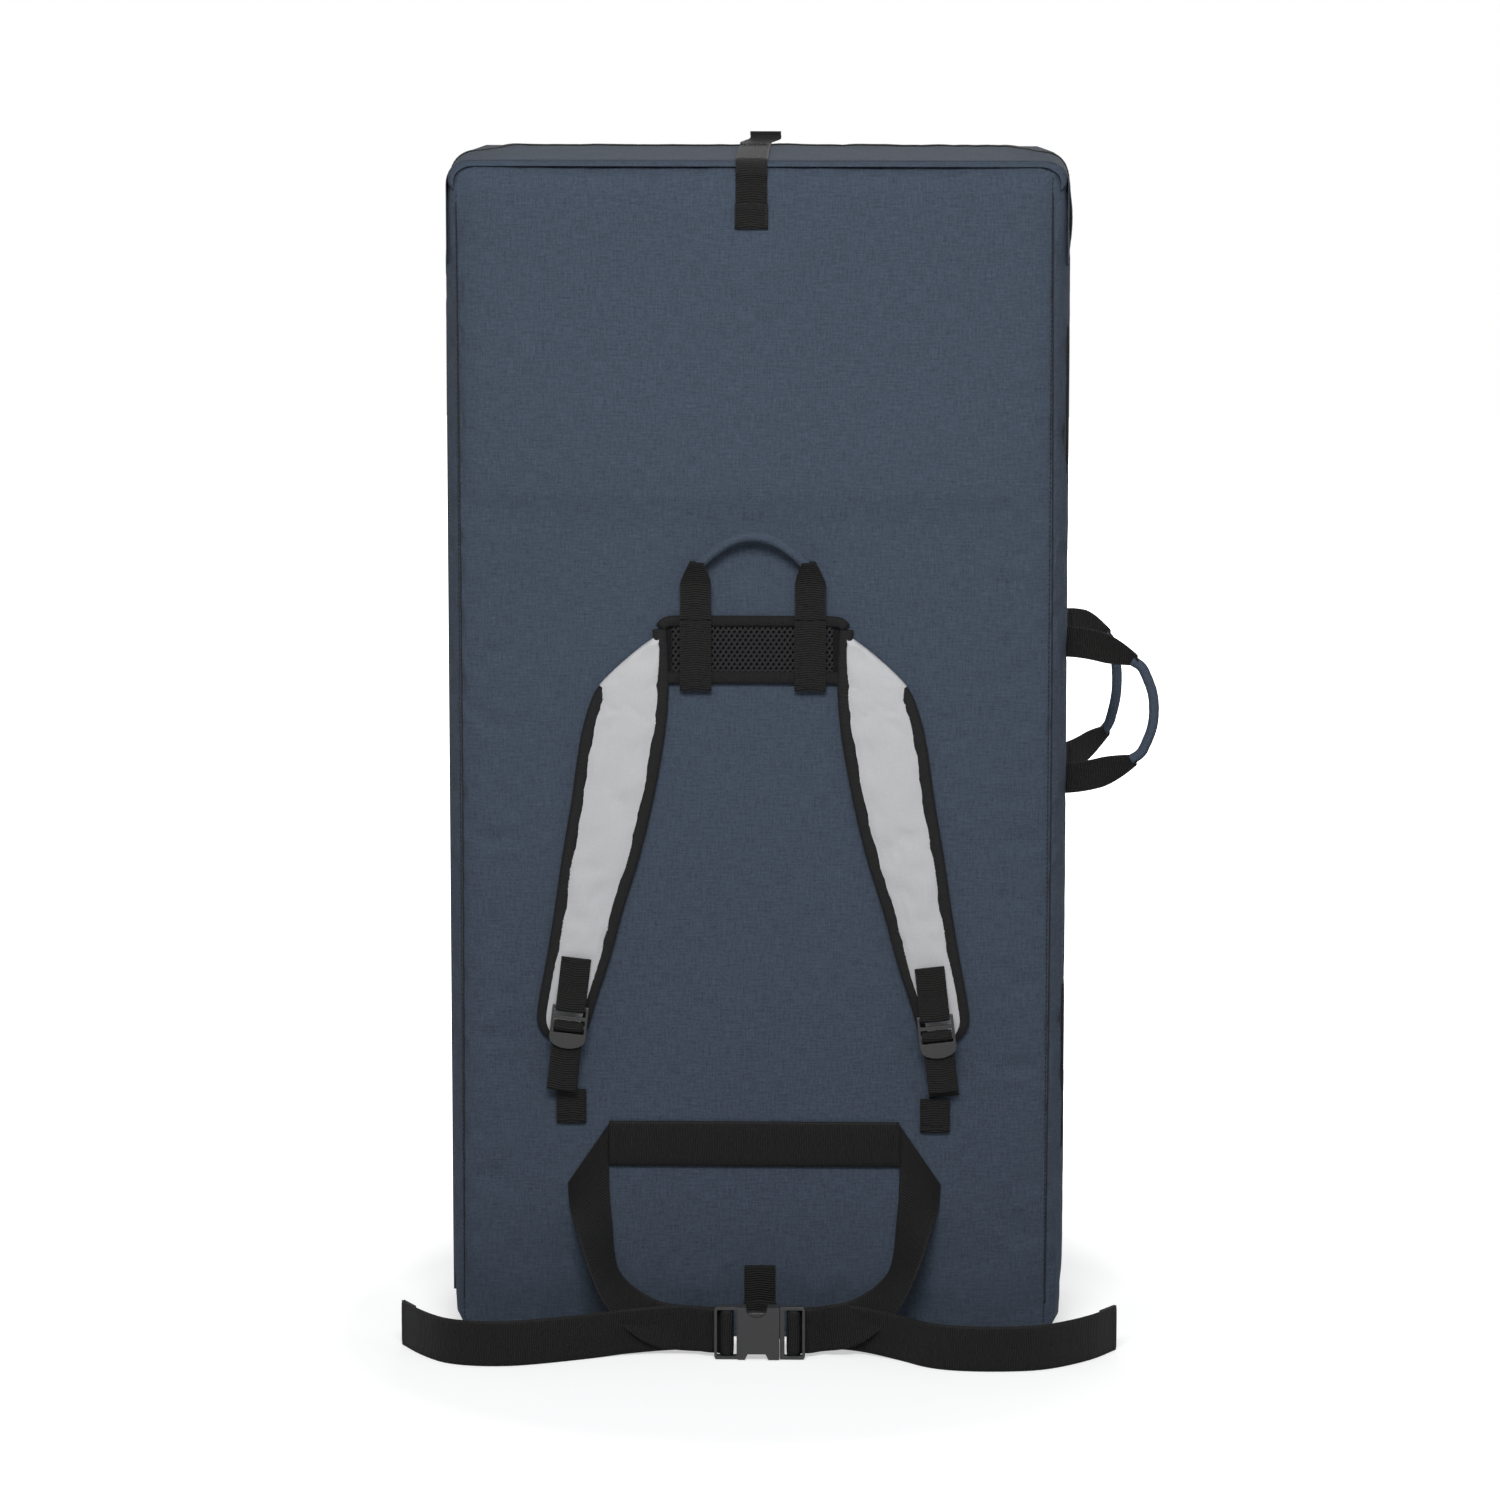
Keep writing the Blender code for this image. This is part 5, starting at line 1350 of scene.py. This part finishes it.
belt = {"x": -0.002, "wide": 0.040, "thick": 0.0018, "buckleY": -0.109, "buckleLow": 0.0005,
        "buckleHigh": 0.0465, "bar": 0.004, "slots": {-1: -0.0242, 1: 0.03345},
        "hem": (0.0, 0.008, 0.016, 0.0235), "hemStitches": (0.004, 0.0205), "bandStitches": (0.007, 0.0085)}
# across, out from the face, and up: the loop's two edges, then the tails' lower edges
loopLow = [(0.1625, 0.0012, 0.140), (0.1605, 0.003, 0.1175), (0.152, 0.025, 0.096), (0.144, 0.039, 0.075),
           (0.130, 0.050, 0.046), (0.108, 0.058, 0.023), (0.085, 0.056, 0.0085), (0.062, 0.052, 0.0040)]
loopHigh = [(0.1263, 0.0012, 0.1935), (0.1262, 0.0012, 0.136), (0.124, 0.003, 0.106), (0.122, 0.010, 0.082),
            (0.117, 0.022, 0.067), (0.103, 0.034, 0.055), (0.082, 0.045, 0.0465), (0.060, 0.050, 0.0437)]
tails = {-1: [(0.065, 0.050, 0.0035), (0.108, 0.054, 0.001), (0.138, 0.066, 0.0), (0.179, 0.084, 0.0),
              (0.211, 0.094, 0.0), (0.242, 0.094, 0.0), (0.268, 0.084, 0.0), (0.290, 0.058, 0.0),
              (0.308, 0.026, 0.0)],
         1: [(0.070, 0.046, 0.0035), (0.096, 0.050, 0.002), (0.126, 0.068, 0.0), (0.151, 0.091, 0.0),
             (0.181, 0.101, 0.0), (0.224, 0.101, 0.0), (0.256, 0.091, 0.0), (0.290, 0.062, 0.0),
             (0.313, 0.028, 0.0)]}
# through the buckle's slot and round its bar, in quarters of the bar
threading = [(-10.4, -8.6), (-2.2, -7.0), (4.4, -3.5), (4.9, 1.0), (2.2, 3.3), (-2.4, 3.3), (-4.9, 0.6),
             (-5.4, -2.9), (-8.8, -5.9), (-15.5, -6.3)]


def beltSide(side, sign):
    b, front = belt, padForm["front"]
    low, high = ([(b["x"] + sign * x, front - n, z) for x, n, z in edge] for edge in (loopLow, loopHigh))
    lift, scale = b["buckleLow"] + (b["buckleHigh"] - b["wide"]) / 2, b["bar"] / 4
    lower = [(b["slots"][sign] - sign * dx * scale, b["buckleY"] - out * scale, lift)
             for dx, out in threading]
    lower += [(sign * x, front - n, b["buckleLow"] + rise) for x, n, rise in tails[sign]]
    low, high = low + lower, high + [(x, y, z + b["wide"]) for x, y, z in lower]
    piece = ribbon(f"waist_belt_{side}", low, high, b["thick"], "belt", cells=12, gap=0.0026, steps=4)
    if sign > 0:
        body = "buckle_plug"
        acrossJoint(piece, [f"waist_webbing_{side}"], (0, 0, 0.052))
    else:
        body = "belt"
        settle(piece, body, [f"waist_webbing_{side}"])
    # the tail's turned hem
    (x1, n1, _), (x, n, _) = tails[sign][-2:]
    end, way = np.array([sign * x, front - n, 0]), unit(np.array([sign * (x1 - x), n - n1, 0.0]))
    out = np.array([way[1], -way[0], 0]) * sign
    lowZ, highZ = np.array([0, 0, b["buckleLow"]]), np.array([0, 0, b["buckleLow"] + b["wide"]])
    hem = [end + way * far + out * (b["thick"] * 0.95) for far in b["hem"]]
    settle(ribbon(f"waist_belt_{side}_hem", [p + lowZ for p in hem], [p + highZ for p in hem],
                  b["thick"] * 0.9, "belt", cells=12, gap=0.0026), body)
    for sideways, away in ((1, 1.42), (-1, -0.55)):
        for far in b["hemStitches"]:
            at = end + way * far + out * (b["thick"] * away)
            stitches(body, [at + lowZ + (0, 0, 0.003), at + highZ - (0, 0, 0.003)], out * sideways,
                     "greyThread", 0.0034)


for side, sign in bothSides:
    beltSide(side, sign)

bandLow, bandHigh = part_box("waist_band")
bandY = (bandLow.y + bandHigh.y) / 2
bandX = np.linspace(bandLow.x, bandHigh.x, 12)
settle(ribbon("waist_band_webbing", [(x, bandY, bandLow.z) for x in bandX],
              [(x, bandY, bandHigh.z) for x in bandX], bandHigh.y - bandLow.y, "belt",
              cells=12), "front_half", ["waist_band"])
for x in (*(bandLow.x + d for d in belt["bandStitches"]), *(bandHigh.x - d for d in belt["bandStitches"])):
    stitches("front_half", [(x, bandLow.y - 0.0001, bandLow.z + 0.003),
                            (x, bandLow.y - 0.0001, bandHigh.z - 0.003)],
             ahead, "greyThread", 0.003)

tab = {"x": 0.003, "low": 0.012, "high": 0.067, "wide": 0.027, "hemMore": 0.0008, "thick": 0.0018,
       "fold": 0.024, "stitchHalf": 0.0112, "stitchIn": 0.004}
tabFold = tab["low"] + tab["fold"]
tabLine = [(faceY(z, tab["x"]) - clear - tab["thick"] / 2, z)
           for z in np.linspace(tab["low"], tab["high"], 9)]
sewnStrap("base_tab_webbing", "front_half", tabLine, tab["x"], tab["wide"], tab["thick"], ["base_tab"])
tabHem = [(faceY(z, tab["x"]) - 0.0004 - tab["thick"] * 1.5, z)
          for z in np.linspace(tab["low"] - 0.0003, tabFold, 5)]
sewnStrap("base_tab_hem", "front_half", tabHem, tab["x"], tab["wide"] + tab["hemMore"], tab["thick"])
for z in (tab["low"] + tab["stitchIn"], tabFold - tab["stitchIn"]):
    bars("front_half", tab["x"], tab["stitchHalf"], z, faceY(z, tab["x"]) - 0.0005 - 2 * tab["thick"])
print("waist belt made")


# side handles and flaps

grab = {"root": 0.26501, "reach": 0.0825, "upper": 0.6125, "lower": 0.4925, "radius": 0.0045, "wide": 0.027,
        "thick": 0.0018, "head": 0.92, "bow": 0.13, "taper": 1.2, "tuck": 0.0004, "tipMore": 0.0012,
        "cup": 0.0012}


def grabHandle(side, angle):
    g = grab
    base = np.array([g["root"], 0.0 if side == "front" else 2 * padForm["parting"], 0.0])
    out = np.array([math.cos(angle), math.sin(angle), 0.0])
    through = np.array([-math.sin(angle), math.cos(angle), 0.0])
    gripOut, bow = g["reach"] - g["radius"], (g["upper"] - g["lower"]) * g["bow"]
    half, head = g["wide"] / 2, g["radius"] * g["head"]
    tipIn = half * g["taper"]
    for name, sign in (("upper", 1), ("lower", -1)):

        def leg(u, across, depth):
            narrow = max(0.0, (u - 0.5) / 0.5) ** 1.7
            wide = half + (head * 1.05 - half) * narrow
            thick = g["thick"] + (2 * head - g["thick"]) * narrow ** 1.2
            cup = (1 - across * across) * g["cup"] * math.sin(math.pi * u)
            height = g[name] - sign * tipIn * u ** 1.8 + across * wide
            return (base + out * (-g["tuck"] + (gripOut - bow + g["tuck"] + g["tipMore"]) * u)
                    + through * (depth * thick / 2 + cup) + np.array([0, 0, height]))

        settle(formed(f"{side}_handle_{name}_webbing", leg, 30, "webbing", g["wide"]), f"{side}_handle",
               [f"{side}_handle_leg_{name}"])
    points = []
    for share in (-1, -0.88, -0.72, -0.36, 0, 0.36, 0.72, 0.88, 1):
        z = (g["upper"] + g["lower"]) / 2 + share * ((g["upper"] - g["lower"]) / 2 - tipIn)
        points.append(base + out * (gripOut - bow * abs(share) ** 2.2 - 0.004 * (abs(share) == 1))
                      + np.array([0, 0, z]))
    settle(gripTube(f"{side}_handle_cloth", points, g["radius"], (angle * 9, 3.0)), f"{side}_handle",
           [f"{side}_handle_grip"])
    for root in (g["upper"], g["lower"]):
        for turned in (-1, 1):
            at = base + out * 0.012 + through * turned * (g["thick"] / 2 + 0.0001)
            stitches(f"{side}_handle", [at + (0, 0, root - half + 0.003), at + (0, 0, root + half - 0.003)],
                     through * turned, "greyThread", 0.003)


grabHandle("front", 0.0)
grabHandle("rear", math.radians(50))

flap = {"thick": 0.0017, "off": 0.0012, "sewnMore": 0.0014, "rows": {"upper": (0.762, 0.889),
                                                                     "lower": (0.169, 0.314)}}


def sideX(y):
    # the rounded side of the half that holds this depth; between the two middles the flap runs straight
    deep = y if y < 0 else max(0.0, y - 2 * padForm["parting"])
    return padForm["halfWide"] - padForm["bulge"] * (2 * deep / padForm["deep"]) ** 2


for name, (low, high) in flap["rows"].items():
    boxLow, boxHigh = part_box(f"{name}_side_flap")
    line = [(sideX(y) + flap["off"] + flap["sewnMore"] * (1 - clamp(y / (2 * padForm["parting"]))), y)
            for y in np.linspace(boxLow.y, boxHigh.y, 15)]
    piece = ribbon(f"{name}_flap_webbing", [(x, y, low) for x, y in line], [(x, y, high) for x, y in line],
                   flap["thick"], "landing", cells=24)
    settle(piece, f"{name}_flap", [f"{name}_side_flap"])
    for y in (boxHigh.y - 0.004, boxHigh.y - 0.012):
        x = sideX(y) + flap["off"] + 0.0009
        stitches(f"{name}_flap", [(x, y, low + 0.003), (x, y, high - 0.003)], (1, 0, 0), "greyThread", 0.0034)
print("handles and flaps made")


# the frame's own pieces that stay, and the end

kept = {"loop": ("closure_loop_patch", "upper_flap_patch", "lower_flap_patch"),
        "hook": ("closure_hook_patch",),
        "plastic": ("buckle_female", "buckle_male", "buckle_arm_upper", "buckle_arm_lower",
                    "ladder_lock_left", "ladder_lock_right")}
for look, names in kept.items():
    for node in (nodes[name] for name in names):
        node.data.materials.clear()
        node.data.materials.append(finishes[look])
        if look == "plastic":
            modify(node, "WELD", merge_threshold=0.00002)
            modify(node, "BEVEL", width=0.0006, segments=3, limit_method="ANGLE",
                   angle_limit=math.radians(35))
            modify(node, "WEIGHTED_NORMAL")
            for face in node.data.polygons:
                face.use_smooth = True

for body, thread in stitchRows:
    sewStitches(body, thread)
print("stitches sewn")
